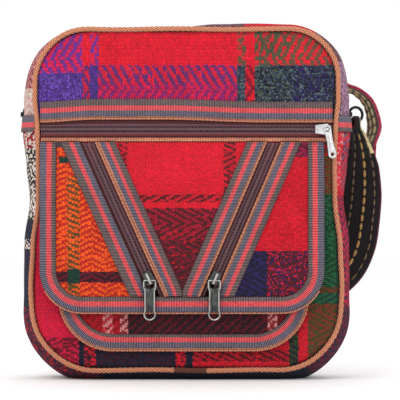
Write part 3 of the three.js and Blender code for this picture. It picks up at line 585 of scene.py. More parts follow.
def weave(name, warp, weft, pitch=(2.3, 1.2), flips=14, flip_across=False, phase=0, along_only=False,
          cells=(), specks=(), share=1.5):
    """Plaid twill: columns of warp colours, rows of weft colours, with diagonals that flip at intervals.
    Cells recolour a box (from, to, low, high, warp, weft); specks scatter a colour in a box."""
    s = Shade(name, roughness=1.0, specular=0.06, sheen=0.05)
    s.bsdf.inputs["Sheen Roughness"].default_value = 0.6
    u, v = s.cloth_uv()
    flat = s.vector(u, v)
    fuzz = s.grain(flat, 1.0, 4.0, 2.6)
    wool = s.grain(s.vector(u, v, 3.0), 0.6)
    patch = s.grain(s.vector(u, v, 9.0), 0.06, 2.0)
    uu = u + (s.noise(flat, 0.22) + fuzz * 0.45 - 0.72) * 2.2
    vv = v + (s.noise(s.vector(v, u, 7.0), 0.24) + wool * 0.4 - 0.7) * 1.8
    a, b = uu / pitch[0], vv / pitch[1]
    i, j = s.floor(a), s.floor(b)
    way = s.floor((uu if flip_across else vv) / flips + phase) % 2.0 * 2.0 - 1.0
    chance = s.random(i + j * 57.3)
    warp_up = abs(((i + j * way) % 4.0 < share) - (chance > 0.93))
    warp_ink, weft_ink = s.ramp(uu, warp), s.ramp(uu if along_only else vv, weft)
    for *box, warp_cell, weft_cell in cells:
        inside = s.inside(uu, vv, *box)
        warp_ink = s.mix(inside, warp_ink, INK[warp_cell])
        weft_ink = s.mix(inside, weft_ink, INK[weft_cell])
    ink = s.mix(warp_up * 0.76 + wool * 0.22, weft_ink, warp_ink)
    for number, (start, end, low, high, colour, amount, *size) in enumerate(specks):
        column, row = (s.floor(uu / size[0]), s.floor(vv / size[0])) if size else (i, j)
        draw = s.random(column * (31.7 + number) + row * 17.9)
        ink = s.mix((draw < amount) * s.inside(uu, vv, start, end, low, high), ink, INK[colour])
    in_u, in_v = [abs(s.math("FRACT", place) - 0.5) for place in (a, b)]
    height = 1.0 - s.math("POWER", s.blend(warp_up, in_v, in_u), 2.0) * 3.4
    yarn = s.blend(warp_up, s.random(j), s.random(i))
    # Painted shade: the tone darkens towards each yarn's edges (height), where the gaps between yarns lie;
    # chance, yarn, fuzz and patch vary it at random.
    ink = s.shaded(ink, 0.16 + height * 0.3 + yarn * 0.14 + chance * 0.2 + fuzz * 0.62 + patch * 0.16)
    lint = s.math("SUBTRACT", s.noise(s.vector(u, v, 21.0), 1.9), 0.5, clamp=True)
    ink = s.mix(lint * 0.3, ink, INK["cream"])
    s.bump(height + fuzz * 1.2, 0.6, 0.9)
    # Last, shade is painted into folds and seams.
    return s.colour(s.painted_fold_shade(ink))


def striped(name, stops):
    """Warp-striped ribbon with cross ribs; stops run from one edge of the ribbon to the other."""
    s = Shade(name, specular=0.12, sheen=0.05)
    u, v = s.cloth_uv()
    fuzz = s.grain(s.vector(u, v), 1.3)
    slow = s.grain(s.vector(u, v, 5.0), 0.1)
    rib = s.wave(u + (fuzz - 0.5) * 0.3, 1.3)
    check = rib * s.wave(v, 1.7)
    ink = s.ramp(v + (fuzz - 0.5) * 0.9, stops)
    # Painted shade and highlight: the tone follows the ribs that the bump raises, lighter on their crests and
    # darker between them; fuzz and slow vary it at random.
    ink = s.shaded(ink, 0.55 + rib * 0.54 + check * 0.16 + fuzz * 0.5 + slow * 0.3)
    # Painted highlight: cream mixed onto the crests of the ribs.
    ink = s.mix((rib > 0.72) * 0.24, ink, INK["cream"])
    s.bump(rib + check * 0.5, 0.3, 0.8)
    # Last, shade is painted into folds and seams.
    return s.colour(s.painted_fold_shade(ink))


def corded(name, ink, pitch, slope, join=False):
    """Cloth-covered cord or narrow braid with slanting threads; a join is wrapped dark at the bottom."""
    s = Shade(name, roughness=0.85, specular=0.2, sheen=0.1)
    u, v = s.cloth_uv()
    dots = (s.wave(u + v * slope, pitch) + s.wave(u - v * slope, pitch)) * 0.6
    fuzz = s.grain(s.vector(u, v), 1.2)
    s.bump(dots + fuzz, 0.35, 0.8)
    # Painted shade and highlight: lighter on the raised dots of the threads and darker between them; fuzz
    # varies it at random.
    braid = s.shaded(INK[ink], 0.66 + dots * 0.36 + fuzz * 0.5)
    # Painted highlight: cream mixed onto the tops of the dots.
    braid = s.mix((dots > 0.55) * 0.28, braid, INK["cream"])
    if join:
        x, _, z = s.split(s.place())
        wrapped = s.inside(x + fuzz * (2 * MM), z, JOIN_LEFT * MM, JOIN_RIGHT * MM, 0, JOIN_TOP * MM)
        braid = s.mix(wrapped * 0.85, braid, INK["join"])
    # Last, shade is painted into folds and seams.
    return s.colour(s.painted_fold_shade(braid, 2.5, 0.5))


def zip_tape(name, stops):
    """Fine herringbone tape; stops run across it."""
    s = Shade(name, roughness=0.75, specular=0.3)
    u, v = s.cloth_uv()
    thread = s.wave(u + s.math("PINGPONG", v, 1.1), 1.2)
    s.bump(thread, 0.12, 0.6)
    # Painted shade: the tone follows the threads that the bump raises, lighter on them and darker between;
    # grain and a wave across the tape vary it too.
    tone = 0.7 + thread * 0.2 + s.grain(s.vector(u, v), 0.9) * 0.42 + s.wave(v, 1.5) * 0.2
    return s.colour(s.shaded(s.ramp(v, stops), tone))


def plastic(name, ink):
    s = Shade(name, roughness=0.4, specular=0.5)
    return s.colour(s.shaded(INK[ink], 0.85 + s.noise(s.place(), 900.0) * 0.3))


def metal(name, dark, bright, roughness):
    """Metal mottled at random between a dark and a bright colour, rougher where it is brighter."""
    s = Shade(name, roughness, 1.0, 0.5)
    mottle = s.noise(s.place(), 260.0, 4.0)
    s.plug(s.bsdf.inputs["Roughness"], roughness - 0.08 + mottle * 0.2)
    s.bump(s.noise(s.place(), 1560.0), 0.02, 0.3)
    return s.colour(s.mix(mottle, linear(*dark), linear(*bright)))


TOP_CLOTH = weave(
    "cloth_top",
    [(-125, "purple"), (-83.4, "red"), (-77, "purple"), (-70.4, "red"), (40.2, "green"), (47, "red"),
     (54.3, "green"), (125, "green")],
    [(200, "blue"), (250.9, "red"), (290, "red")],
    pitch=(1.7, 2.9), flips=26, phase=0.1,
    cells=((-130, -83.4, 190, 245, "purple", "blue"), (-70.4, 40.2, 236, 251, "red", "blue"),
           (-70.4, 40.2, 190, 236, "crimson", "plum"), (40.2, 47, 190, 250.9, "slate", "slate_dark"),
           (54.3, 130, 190, 250.9, "slate", "slate_dark"), (47, 54.3, 190, 250.9, "red", "maroon"),
           (-130, -83.4, 245, 300, "purple", "crimson")),
    specks=((84, 130, 190, 250.9, "violet", 0.34, 1.5), (54.3, 84, 190, 250.9, "green", 0.24, 1.3),
            (40, 47, 190, 250.9, "slate_light", 0.16, 1.1),
            (54.3, 130, 190, 250.9, "slate_light", 0.16, 1.1), (54.3, 130, 190, 250.9, "ink", 0.22, 1.4),
            (54.3, 84, 250.9, 290, "green", 0.3), (-130, -83.4, 190, 245, "iris", 0.3, 1.2)))
CENTRE_CLOTH = weave(
    "cloth_centre",
    [(-90, "red"), (-54.3, "brown"), (-47, "red"), (29.3, "brown"), (39, "red"), (90, "red")],
    [(40, "brown"), (137, "red"), (141.4, "brown"), (147.6, "red"), (200, "red")],
    cells=((-90, 90, 40, 88, "maroon", "brown"), (-90, 90, 88, 112, "garnet_light", "brown"),
           (-90, 90, 112, 137, "claret", "brown")),
    specks=((-20, 90, 40, 124, "red2", 0.08),))
LEFT_CLOTH = weave(
    "cloth_left",
    [(-125, "orange"), (0, "orange")],
    [(40, "vermilion"), (200, "vermilion")],
    pitch=(2.6, 1.15), flips=10.4, flip_across=True, phase=0.1, share=2.0,
    cells=((-94.5, -84.5, 60, 163, "orange", "moss"), (-101, -93.5, 173, 178, "forest_dark", "teal"),
           (-107, -86, 185.5, 195, "trim_grey", "trim_brown"), (-125, 0, 78.4, 87, "black", "maroon"),
           (-94, -84.5, 77.4, 89, "teal", "forest_dark")))
RIGHT_CLOTH = weave(
    "cloth_right",
    [(0, "violet"), (64, "wine"), (125, "wine")],
    [(40, "ink"), (103.4, "red"), (178, "magenta"), (200, "magenta")],
    cells=((0, 130, 103.4, 178, "deep_red", "red"), (0, 130, 178, 200, "magenta", "brown"),
           (64, 130, 40, 103.4, "maroon", "brown")),
    specks=((64, 130, 40, 103.4, "violet", 0.2, 1.0), (64, 130, 40, 103.4, "crimson", 0.15, 1.0),
            (0, 130, 103.4, 178, "red2", 0.16)))
LOWER_CLOTH = weave(
    "cloth_lower",
    [(-125, "crimson"), (-85.8, "navy"), (-81.4, "red"), (-73, "navy"), (-8.6, "red"), (-1.2, "navy"),
     (5.2, "red2"), (81.8, "moss"), (89.4, "red"), (96.6, "moss"), (125, "moss")],
    [(0, "ink"), (36, "maroon"), (50, "red"), (80, "forest"), (150, "olive"), (178, "red"), (200, "red")],
    cells=((-125, -85.8, 34, 200, "crimson", "crimson"), (-125, -85.8, 0, 34, "crimson", "maroon"),
           (-81.4, -74, 0, 28, "red", "maroon"), (-70, -12, 12, 24, "navy", "wine"),
           (-8.6, -1.2, 0, 40, "red", "red2"), (5.2, 81.8, 0, 15, "red", "red2"),
           (5.2, 81.8, 15, 24, "red2", "wine"), (5.2, 81.8, 24, 60, "red2", "red"),
           (89.4, 96.6, 0, 80, "red", "red2"), (96.6, 130, 0, 61, "moss", "umber"),
           (96.6, 130, 61, 69.5, "teal", "forest"), (96.6, 130, 69.5, 74.5, "umber", "moss"),
           (96.6, 130, 74.5, 148, "forest", "forest_dark"), (96.6, 130, 148, 178, "olive", "umber")),
    specks=((-125, -85.8, 22, 34, "maroon", 0.3), (-85.8, 5, 0, 40, "ink", 0.3),
            (-125, -85.8, 40, 90, "red", 0.3)))
POCKET_CLOTH = weave(
    "cloth_pocket",
    [(-125, "blood"), (-66, "maroon"), (-47.5, "garnet"), (66, "maroon"), (125, "maroon")],
    [(0, "black"), (200, "black")],
    pitch=(1.9, 1.7), flips=90, phase=0.2,
    cells=((-125, -66.5, 0, 200, "blood", "red2"), (-66.5, -58.5, 0, 200, "blush", "red2"),
           (-58.5, -52.5, 0, 200, "red2", "blood"), (-52.5, -46.5, 0, 200, "blush", "blood"),
           (64.5, 72.5, 0, 200, "blush", "blood"), (72.5, 125, 0, 200, "maroon", "blood")),
    specks=((-66.5, -46.5, 0, 200, "blood", 0.12), (64.5, 72.5, 0, 200, "blood", 0.12)))
BACK_CLOTH = weave(
    "cloth_back",
    [(-125, "red"), (-92, "navy"), (-60, "red"), (-20, "maroon"), (0, "green"), (14, "red"),
     (60, "purple"), (86, "red"), (125, "red")],
    [(0, "navy"), (38, "red"), (96, "purple"), (112, "red"), (176, "slate"), (214, "red"), (290, "red")])
SIDE_CLOTH = weave(
    "cloth_side",
    [(-480, "black"), (-296, "red2"), (-284, "black"), (-222, "navy"), (-151, "maroon"), (-71, "ink"),
     (95, "maroon"), (150, "crimson"), (245, "red"), (300, "lilac"), (345, "grey"), (372, "red"),
     (430, "grey"), (470, "red"), (520, "maroon"), (572, "blush"), (622, "pink_pale"), (655, "cream"),
     (700, "cream"), (748, "navy"), (800, "maroon"), (880, "ink"), (951, "ink")],
    [(-480, "slate_dark"), (-296, "maroon"), (-284, "slate_dark"), (-222, "ink"), (-151, "navy"),
     (-71, "navy"), (150, "navy"), (240, "red2"), (245, "blush"), (300, "mauve"), (345, "maroon"),
     (372, "red2"), (430, "maroon"), (470, "red"), (520, "grey"), (572, "maroon"), (622, "cream"),
     (655, "black"), (700, "black"), (748, "ink"), (800, "navy"), (951, "navy")],
    pitch=(1.5, 2.3), flips=11, along_only=True,
    cells=((300, 372, -60, -27, "grey", "brown"), (245, 300, -21, 60, "mauve", "maroon")),
    specks=((-300, -222, -100, 100, "cream", 0.42), (-206, -198, -100, 100, "cream", 0.5),
            (-151, -71, -100, 100, "red2", 0.12), (245, 300, -100, 100, "red", 0.4),
            (300, 345, -100, 100, "grey", 0.15)))
# Width of the tan stripe at the edge of the striped ribbon
TAN_STRIPE = 1.7
TRIM = striped("ribbon_striped", [(0, "tan"), (TAN_STRIPE, "trim_grey"), (6.7, "trim_pink"),
                                  (10.4, "trim_brown"), (16, "trim_brown")])
TRIM_BORDER = striped("ribbon_border", [(0, "trim_grey"), (5.2, "trim_pink"), (9.4, "trim_brown"),
                                        (16, "trim_brown")])
TRIM_WIDE_TAN = striped("ribbon_wide_tan", [(0, "tan"), (2.9, "trim_grey"), (7.2, "trim_pink"),
                                            (10.2, "trim_brown"), (16, "trim_brown")])
TAN = corded("cord_tan", "cord", 3.0, 1.3, join=True)
TAN_EDGE = corded("braid_tan", "tan", 2.0, 0.9)
ZIP_EDGE = striped("ribbon_zip_edge", [(0, "tan"), (2.9, "tape_red"), (16, "tape_red")])
TAPE_CLOTH = zip_tape("tape_maroon", [(0, "tape_edge"), (2.0, "tape"), (16, "tape")])
TAPE_LOW = zip_tape("tape_maroon_low", [(0, "tape_red"), (ZIP_OPEN - COIL - GAP * 2 - 2, "tape_edge"),
                                        (16, "tape_edge")])
COIL_PLASTIC = plastic("coil_maroon", "coil")
GUNMETAL = metal("metal_gunmetal", (34, 38, 38), (104, 106, 104), 0.34)
# A brighter metal for the slanted pulls' rims and the slanted sliders' bails.
RIM_METAL = metal("metal_bright_rim", (120, 118, 114), (226, 222, 216), 0.26)
SILVER = metal("metal_silver", (150, 150, 152), (250, 250, 250), 0.22)
BLACK_METAL = metal("metal_black", (18, 18, 20), (58, 58, 62), 0.25)


def strap_material(edge_start, edge_end, back_start):
    """Black band with wine edges, a cream stitched edge beside the ring and an olive stretch behind."""
    s = Shade("strap_band", roughness=0.85, specular=0.3, sheen=0.1)
    u, v = s.cloth_uv()
    rib, pick = s.wave(v, 1.6), s.wave(u, 1.4)
    ink = s.ramp(v, [(0, "strap_edge"), (1.2, "strap"), (36.9, "strap_edge"), (40, "strap_edge")])
    behind = s.ramp(v, [(0, "strap_olive"), (36, "strap_red"), (40, "strap_red")])
    ink = s.mix(u > back_start, ink, behind)
    ink = s.mix(s.inside(u, v, edge_start, edge_end, 33.5, 41), ink, INK["dash_cream"])
    s.bump(rib + pick * 0.3, 0.3, 0.8)
    # Painted shade: the tone follows the ribs and picks that the bump raises, lighter on them and darker
    # between; grain varies it at random.
    return s.colour(s.shaded(ink, 0.5 + rib * 0.26 + s.grain(s.vector(u, v), 0.8) + pick * 0.12))


# Camera, lights and floor, in metres; the lamps point at the middle of the bag
LIT = (0, 0, 0.14)


def camera():
    data = bpy.data.cameras.new("camera")
    data.sensor_width = 36
    span = PHOTO_PIXELS * MM_PER_PIXEL
    data.lens = data.sensor_width * (CAMERA_AWAY - FRONT_PLANE) / span
    data.clip_end = 20
    view = show("camera", data)
    view.location = Vector((CAMERA_ACROSS, -CAMERA_AWAY, CAMERA_HEIGHT)) * MM
    view.rotation_euler = (math.pi / 2, 0, 0)
    bpy.context.scene.camera = view


def area_light(name, place, size, power):
    data = bpy.data.lights.new(name, "AREA")
    data.size = size
    data.energy = power
    lamp = show(name, data)
    lamp.location = place
    lamp.rotation_euler = (Vector(LIT) - Vector(place)).to_track_quat("-Z", "Y").to_euler()


def studio():
    world = bpy.data.worlds.new("studio")
    bpy.context.scene.world = world
    world.use_nodes = True
    light = world.node_tree.nodes["Background"]
    light.inputs["Color"].default_value = (1, 1, 1, 1)
    light.inputs["Strength"].default_value = 1.0
    bpy.context.scene.view_settings.view_transform = "Standard"
    area_light("key", (-0.7, -1.3, 1.5), 0.8, 9)
    area_light("fill", (1.2, -1.3, 0.7), 1.2, 3)
    area_light("rim", (0.3, 1.4, 1.4), 1.0, 5)
    bpy.ops.mesh.primitive_plane_add(size=8)
    floor = bpy.context.object
    floor.name = "floor"
    floor.data.materials.append(Shade("floor_pale").colour(linear(252, 252, 252)))


camera()
studio()


# Body

PANEL_INSET = PIPING + GAP
opening_high, opening_low = ZIP_Z + ZIP_OPEN, ZIP_Z - ZIP_OPEN
body_shape = body_outline(PANEL_INSET)[:, :2]
lower_shape = clip(body_shape, np.array([0, opening_low]), np.array([0, 1]))
upper_shape = resample(clip(body_shape, np.array([0, opening_high]), np.array([0, -1])), SPACING)
upper_shape[:, 1] += arch(upper_shape[:, 0]) * (upper_shape[:, 1] < opening_high + 1)
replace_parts(panel("cloth_front_upper", upper_shape, front, TOP_CLOTH), "front_upper_panel")
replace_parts(panel("cloth_front_lower", lower_shape, front, LOWER_CLOTH), "front_lower_panel")
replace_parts(panel("cloth_back", body_shape, front, BACK_CLOTH, side=1), "back_panel")


def piping(name, side, node):
    x, z, nx, nz = body_outline(spacing=0.9).T
    sink = 0.35 * np.sin(x / 14 + z / 19)
    centre = np.column_stack([x + nx * sink * 0.4, side * (face(x, z) - CLOTH / 2 + sink), z + nz * sink])
    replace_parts(loft(name, *tube(centre, PIPING, 12, True, 4.2, 0.1), TAN, closed=True), node)


piping("cord_front", -1, "piping_front")
piping("cord_back", 1, "piping_back")

GUSSET_HALF = SEAM - CLOTH / 2 - PIPING - GAP
DEPTH_SHARES = np.linspace(-1, 1, 27)


def gusset_ring(rows, shares, offset):
    """Points of the gusset at each outline point and each share of its half depth."""
    x, z, nx, nz = [column[:, None] for column in np.asarray(rows).T]
    y = shares[None, :] * GUSSET_HALF
    end = np.where(nz > 0, TOP_BULGE * follow(TOP_ROWS, x / HALF_WIDTH), BOTTOM_BULGE)
    bulge = SIDE_BULGE * follow(SIDE_ROWS, height_share(z)) * nx ** 2 + end * nz ** 2
    out = (bulge + 0.5 * np.sin(z / 13 + y / 9) * nx ** 2) * (1 - shares[None, :] ** 2) + offset
    lowest = max(-offset, 0.0)
    return np.stack([x + nx * out, np.broadcast_to(y, out.shape), np.maximum(z + nz * out, lowest)], axis=2)


def gusset(name, upper, node):
    rows = body_outline(spacing=SPACING)
    rows = np.roll(rows, -np.argmin(np.abs(rows[:, 0]) + (rows[:, 1] > MIDDLE_Z) * 999), axis=0)
    along = lengths(rows[:, :2], closed=True)
    run = np.flatnonzero((rows[:, 1] > BAND_Z) == upper)
    if not upper:
        along[along > along[-1] / 2] -= along[-1]
        run = run[np.argsort(along[run])]
    layers = [(DEPTH_SHARES, 0), (DEPTH_SHARES[::-1], -CLOTH)]
    rings = np.concatenate([gusset_ring(rows[run], *layer) for layer in layers], axis=1)
    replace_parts(loft(name, rings, along[run], there_and_back(DEPTH_SHARES) * GUSSET_HALF, SIDE_CLOTH), node)


gusset("cloth_gusset_top", True, "gusset_top")
gusset("cloth_gusset_bottom", False, "gusset_bottom")


def gusset_band(name, side, node):
    zs = np.linspace(BAND_Z - BAND_HIGH / 2, BAND_Z + BAND_HIGH / 2, 13)
    rows = [(side * HALF_WIDTH * float(waist(z)), z, side, 0) for z in zs]
    outer, inner = [gusset_ring(rows, DEPTH_SHARES, lift).transpose(1, 0, 2) for lift in (GAP + RIBBON, GAP)]
    rings = np.concatenate([outer, inner[:, ::-1]], axis=1)
    around = there_and_back(np.linspace(SLANT_TRIM, TAN_STRIPE, len(zs)))
    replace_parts(loft(name, rings, DEPTH_SHARES * GUSSET_HALF, around, TRIM), node)


gusset_band("ribbon_gusset_left", -1, "gusset_trim_left")
gusset_band("ribbon_gusset_right", 1, "gusset_trim_right")


# Main zip

def edge_at(z):
    """How far the front reaches across at a height."""
    rows = body_outline(PANEL_INSET, 1.0)
    right = rows[rows[:, 0] > 0]
    right = right[np.argsort(right[:, 1])]
    return float(np.interp(z, right[:, 1], right[:, 0]))


def level_ribbon(name, low, high, material, node, lift=GAP, thick=RIBBON, arched=(0, 0), braid=False):
    reach = min(edge_at(low), edge_at(high)) - 0.3
    xs = np.linspace(-reach, reach, int(2 * reach / SPACING))
    bottom, top = [np.column_stack([xs, z + bent * arch(xs)]) for z, bent in zip((low, high), arched)]
    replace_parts(ribbon(name, bottom, top, front, lift, material, thick, braid=braid), node)


level_ribbon("ribbon_zip_upper", opening_high - GAP, opening_high + TRIM_HIGH, TRIM, "zip_upper_trim",
             arched=(1, 1), braid=True)
level_ribbon("braid_zip_lower", opening_low - EDGE_HIGH, opening_low + GAP, ZIP_EDGE, "zip_lower_edge")
TAPE_BACK = -TAPE_SINK - GAP
level_ribbon("tape_upper", ZIP_Z + COIL + GAP, opening_high - GAP, TAPE_CLOTH, "zip_tape_upper", TAPE_BACK,
             TAPE, arched=(0, 1))
level_ribbon("tape_lower", opening_low + GAP, ZIP_Z - COIL - GAP, TAPE_LOW, "zip_tape_lower", TAPE_BACK, TAPE)

# Loops of the coil: distance from one to the next, reach across, thickness, slant, height of the crown
LOOP_PITCH, LOOP_WIDE, LOOP_THICK, LOOP_LEAN, LOOP_CROWN = 1.3, 3.6, 1.05, 0.28, 0.7

# Directions round a loop of the coil or round a stitch
SIX = np.radians(range(0, 360, 60))


def coil(name, start, end, surface, offset, node):
    """Closed coil: slanting loops side by side, alternately from each tape."""
    start, end = np.array(start), np.array(end)
    along = unit(end - start)
    side = np.array([-along[1], along[0]])
    points, faces = [], []
    for n in range(int(math.dist(start, end) / LOOP_PITCH)):
        centre = start + along * LOOP_PITCH * (n + 0.5)
        lean = LOOP_LEAN if n % 2 else -LOOP_LEAN
        faces += tube_faces(7, len(SIX), base=len(points))
        for t in np.linspace(-1, 1, 7):
            r = LOOP_THICK / 2 * math.sqrt(max(1 - 0.96 * t * t, 0.02))
            spot = centre + side * t * LOOP_WIDE / 2 + along * lean * t
            out = surface(*spot) + offset + LOOP_CROWN * (1 - t * t)
            for a in SIX:
                x, z = spot + along * r * math.cos(a)
                points.append((x, -(out + r * math.sin(a)), z))
    uvs = [(points[i][0], points[i][2]) for f in faces for i in f]
    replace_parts(build(name, points, faces, uvs, COIL_PLASTIC), node)


coil("coil_main", (0.5 - edge_at(ZIP_Z), ZIP_Z), (MAIN_SLIDER_X + POST, ZIP_Z), front, TAPE_BACK + COIL,
     "zip_coil")


# Pockets

def pocket_ribbon(name, shape, surface, node, wall=0.0):
    """The border of a pocket; with a wall, its outer edge folds back towards the front of the bag."""
    outer, inner = pocket_path(*shape), pocket_path(*shape, inset=TRIM_WIDE)
    rings = []
    for a, b in zip(outer, inner):
        top, under = ribbon_row(a, b, surface, GAP, RIBBON)
        if wall:
            over = surface(*a)
            deep = max(over - front(*a) - wall, 0.0)
            inside = a + (b - a) * (RIBBON / TRIM_WIDE)
            top[:1] = [(a[0], deep / 2 - over, a[1]), (a[0], -(over + GAP + 0.4), a[1])]
            under[-2:] = [(inside[0], -(over + GAP), inside[1]), (inside[0], deep - over, inside[1]),
                          (a[0], deep - over, a[1])]
        rings.append(top + under)
    wide = SHARES * TRIM_WIDE
    around = [0, *wide, *wide[::-1][:-2], 0.5, 0.2, 0.1, 0] if wall else there_and_back(wide)
    along = lengths((outer + inner) / 2)
    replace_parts(loft(name, np.array(rings, float), along, around, TRIM_BORDER if wall else TRIM), node)
    edge = even(outer, ROPE_STEP)
    if wall:
        edge = edge[edge[:, 1] < BRAID_TOP]
    edge_braid(name, edge, surface, GAP + RIBBON * 0.6, ROPE * (0.8 if wall else 1))


LOWER_SHAPE = (LOW_LEFT, LOW_RIGHT, LOW_BOTTOM, LOW_TOP, LOW_CORNER)
UPPER_SHAPE = (UP_LEFT, UP_RIGHT, UP_BOTTOM, UP_TOP, UP_CORNER)


def lower_cloth(x, z):
    return front(x, z) + GAP + CLOTH


def upper_cloth(x, z):
    return stand(x, z) + CLOTH


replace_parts(panel("cloth_pocket_lower", pocket_path(*LOWER_SHAPE), lower_cloth, POCKET_CLOTH),
            "pocket_lower_panel")
pocket_ribbon("ribbon_pocket_lower", LOWER_SHAPE, lower_cloth, "pocket_lower_trim")
pocket_ribbon("ribbon_pocket_upper", UPPER_SHAPE, upper_cloth, "pocket_upper_trim", wall=LOWER_STACK + GAP)


def zip_side(name, sign):
    """A clip that keeps what lies beyond a slanted zip's tape, to the left (-1) or right (1)."""
    lean = math.radians(ZIPS[name][1])
    return np.array([slant(name, 0, sign * TAPE_HALF), 0]), -sign * np.array([math.cos(lean), math.sin(lean)])


for name, cloth, cuts in (("left", LEFT_CLOTH, [("left", -1)]), ("right", RIGHT_CLOTH, [("right", 1)]),
                          ("centre", CENTRE_CLOTH, [("left", 1), ("right", -1)])):
    shape = pocket_path(*UPPER_SHAPE, inset=RIBBON + GAP)
    for cut in cuts:
        shape = clip(shape, *zip_side(*cut))
    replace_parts(panel(f"cloth_pocket_{name}", shape, upper_cloth, cloth), f"pocket_{name}_panel")

MEET_Z = UP_BOTTOM + TRIM_WIDE
TRIM_NEAR, TRIM_FAR = TAPE_HALF - GAP, TAPE_HALF + SLANT_TRIM
MEET_X = (slant("left", MEET_Z, TRIM_NEAR) + slant("right", MEET_Z, -TRIM_NEAR)) / 2


def pocket_floor(x, inset):
    """The height of the pocket's rounded bottom edge at a place across."""
    r = UP_CORNER - inset
    over = max(UP_LEFT + UP_CORNER - x, x - UP_RIGHT + UP_CORNER, 0.0)
    return UP_BOTTOM + UP_CORNER - math.sqrt(max(r * r - over * over, 0.0))


def slant_strip(name, near, far, z_top, inset):
    """Both edges of a strip beside a slanted zip, from the pocket's top to its bottom border."""
    edges = []
    for offset in (near, far):
        zs = np.linspace(z_top, pocket_floor(slant(name, MEET_Z, offset), inset), 56)
        edges.append(np.column_stack([slant(name, zs, offset), zs]))
    return edges


for name, outward in (("left", -1), ("right", 1)):
    for part, sign in (("outer", outward), ("inner", -outward)):
        near_edge, far_edge = slant_strip(name, sign * TRIM_NEAR, sign * TRIM_FAR, UP_TOP, TRIM_WIDE + GAP)
        if part == "inner":
            limit = MEET_X + outward * GAP / 2
            bound = np.minimum if outward < 0 else np.maximum
            for edge in (near_edge, far_edge):
                edge[:, 0] = bound(edge[:, 0], limit)
        plain = (name, part) == ("left", "outer")
        cloth = TRIM_WIDE_TAN if (name, part) == ("left", "inner") else TRIM
        piece = ribbon(f"ribbon_{name}_{part}", near_edge, far_edge, upper_cloth, GAP, cloth,
                       start=TAN_STRIPE if plain else 0.0, braid=not plain)
        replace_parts(piece, f"{name}_zip_{part}_trim")
        tape = slant_strip(name, sign * (COIL + GAP), sign * TRIM_NEAR, UP_TOP - GAP, RIBBON + GAP)
        piece = ribbon(f"tape_{name}_{part}", *tape, stand, 0.0, TAPE_CLOTH, TAPE)
        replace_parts(piece, f"{name}_zip_tape_{part}")
    ends = [(slant(name, z), z) for z in (UP_TOP - 0.6, SLANT_SLIDER_Z - POST)]
    coil(f"coil_{name}", *ends, stand, COIL, f"{name}_zip_coil")


# Sliders: the frame's own solids with their edges rounded; the bail is what stands furthest forward
BAIL_DEEP = 1.6


def rounded(node, name, material, bail):
    piece = show(name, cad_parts[node].data.copy())
    piece.data.materials.clear()
    for each in (material, bail):
        piece.data.materials.append(each)
    bm = bmesh.new()
    bm.from_mesh(piece.data)
    bmesh.ops.remove_doubles(bm, verts=bm.verts, dist=1e-6)
    bmesh.ops.dissolve_limit(bm, angle_limit=math.radians(4), verts=bm.verts, edges=bm.edges)
    front_most = min(vert.co.y for vert in bm.verts)
    for part in bm.faces:
        part.material_index = int(part.calc_center_median().y < front_most + BAIL_DEEP * MM)
    bm.to_mesh(piece.data)
    bm.free()
    bevel = piece.modifiers.new("bevel", "BEVEL")
    bevel.width = 0.25 * MM
    bevel.segments = 3
    bevel.limit_method = "ANGLE"
    bevel.angle_limit = math.radians(35)
    piece.data.polygons.foreach_set("use_smooth", [True] * len(piece.data.polygons))
    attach(piece, "root")
    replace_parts(piece, node)


rounded("main_slider", "metal_main_slider", SILVER, SILVER)
for name in ("left", "right"):
    rounded(f"{name}_slider", f"metal_{name}_slider", GUNMETAL, RIM_METAL)

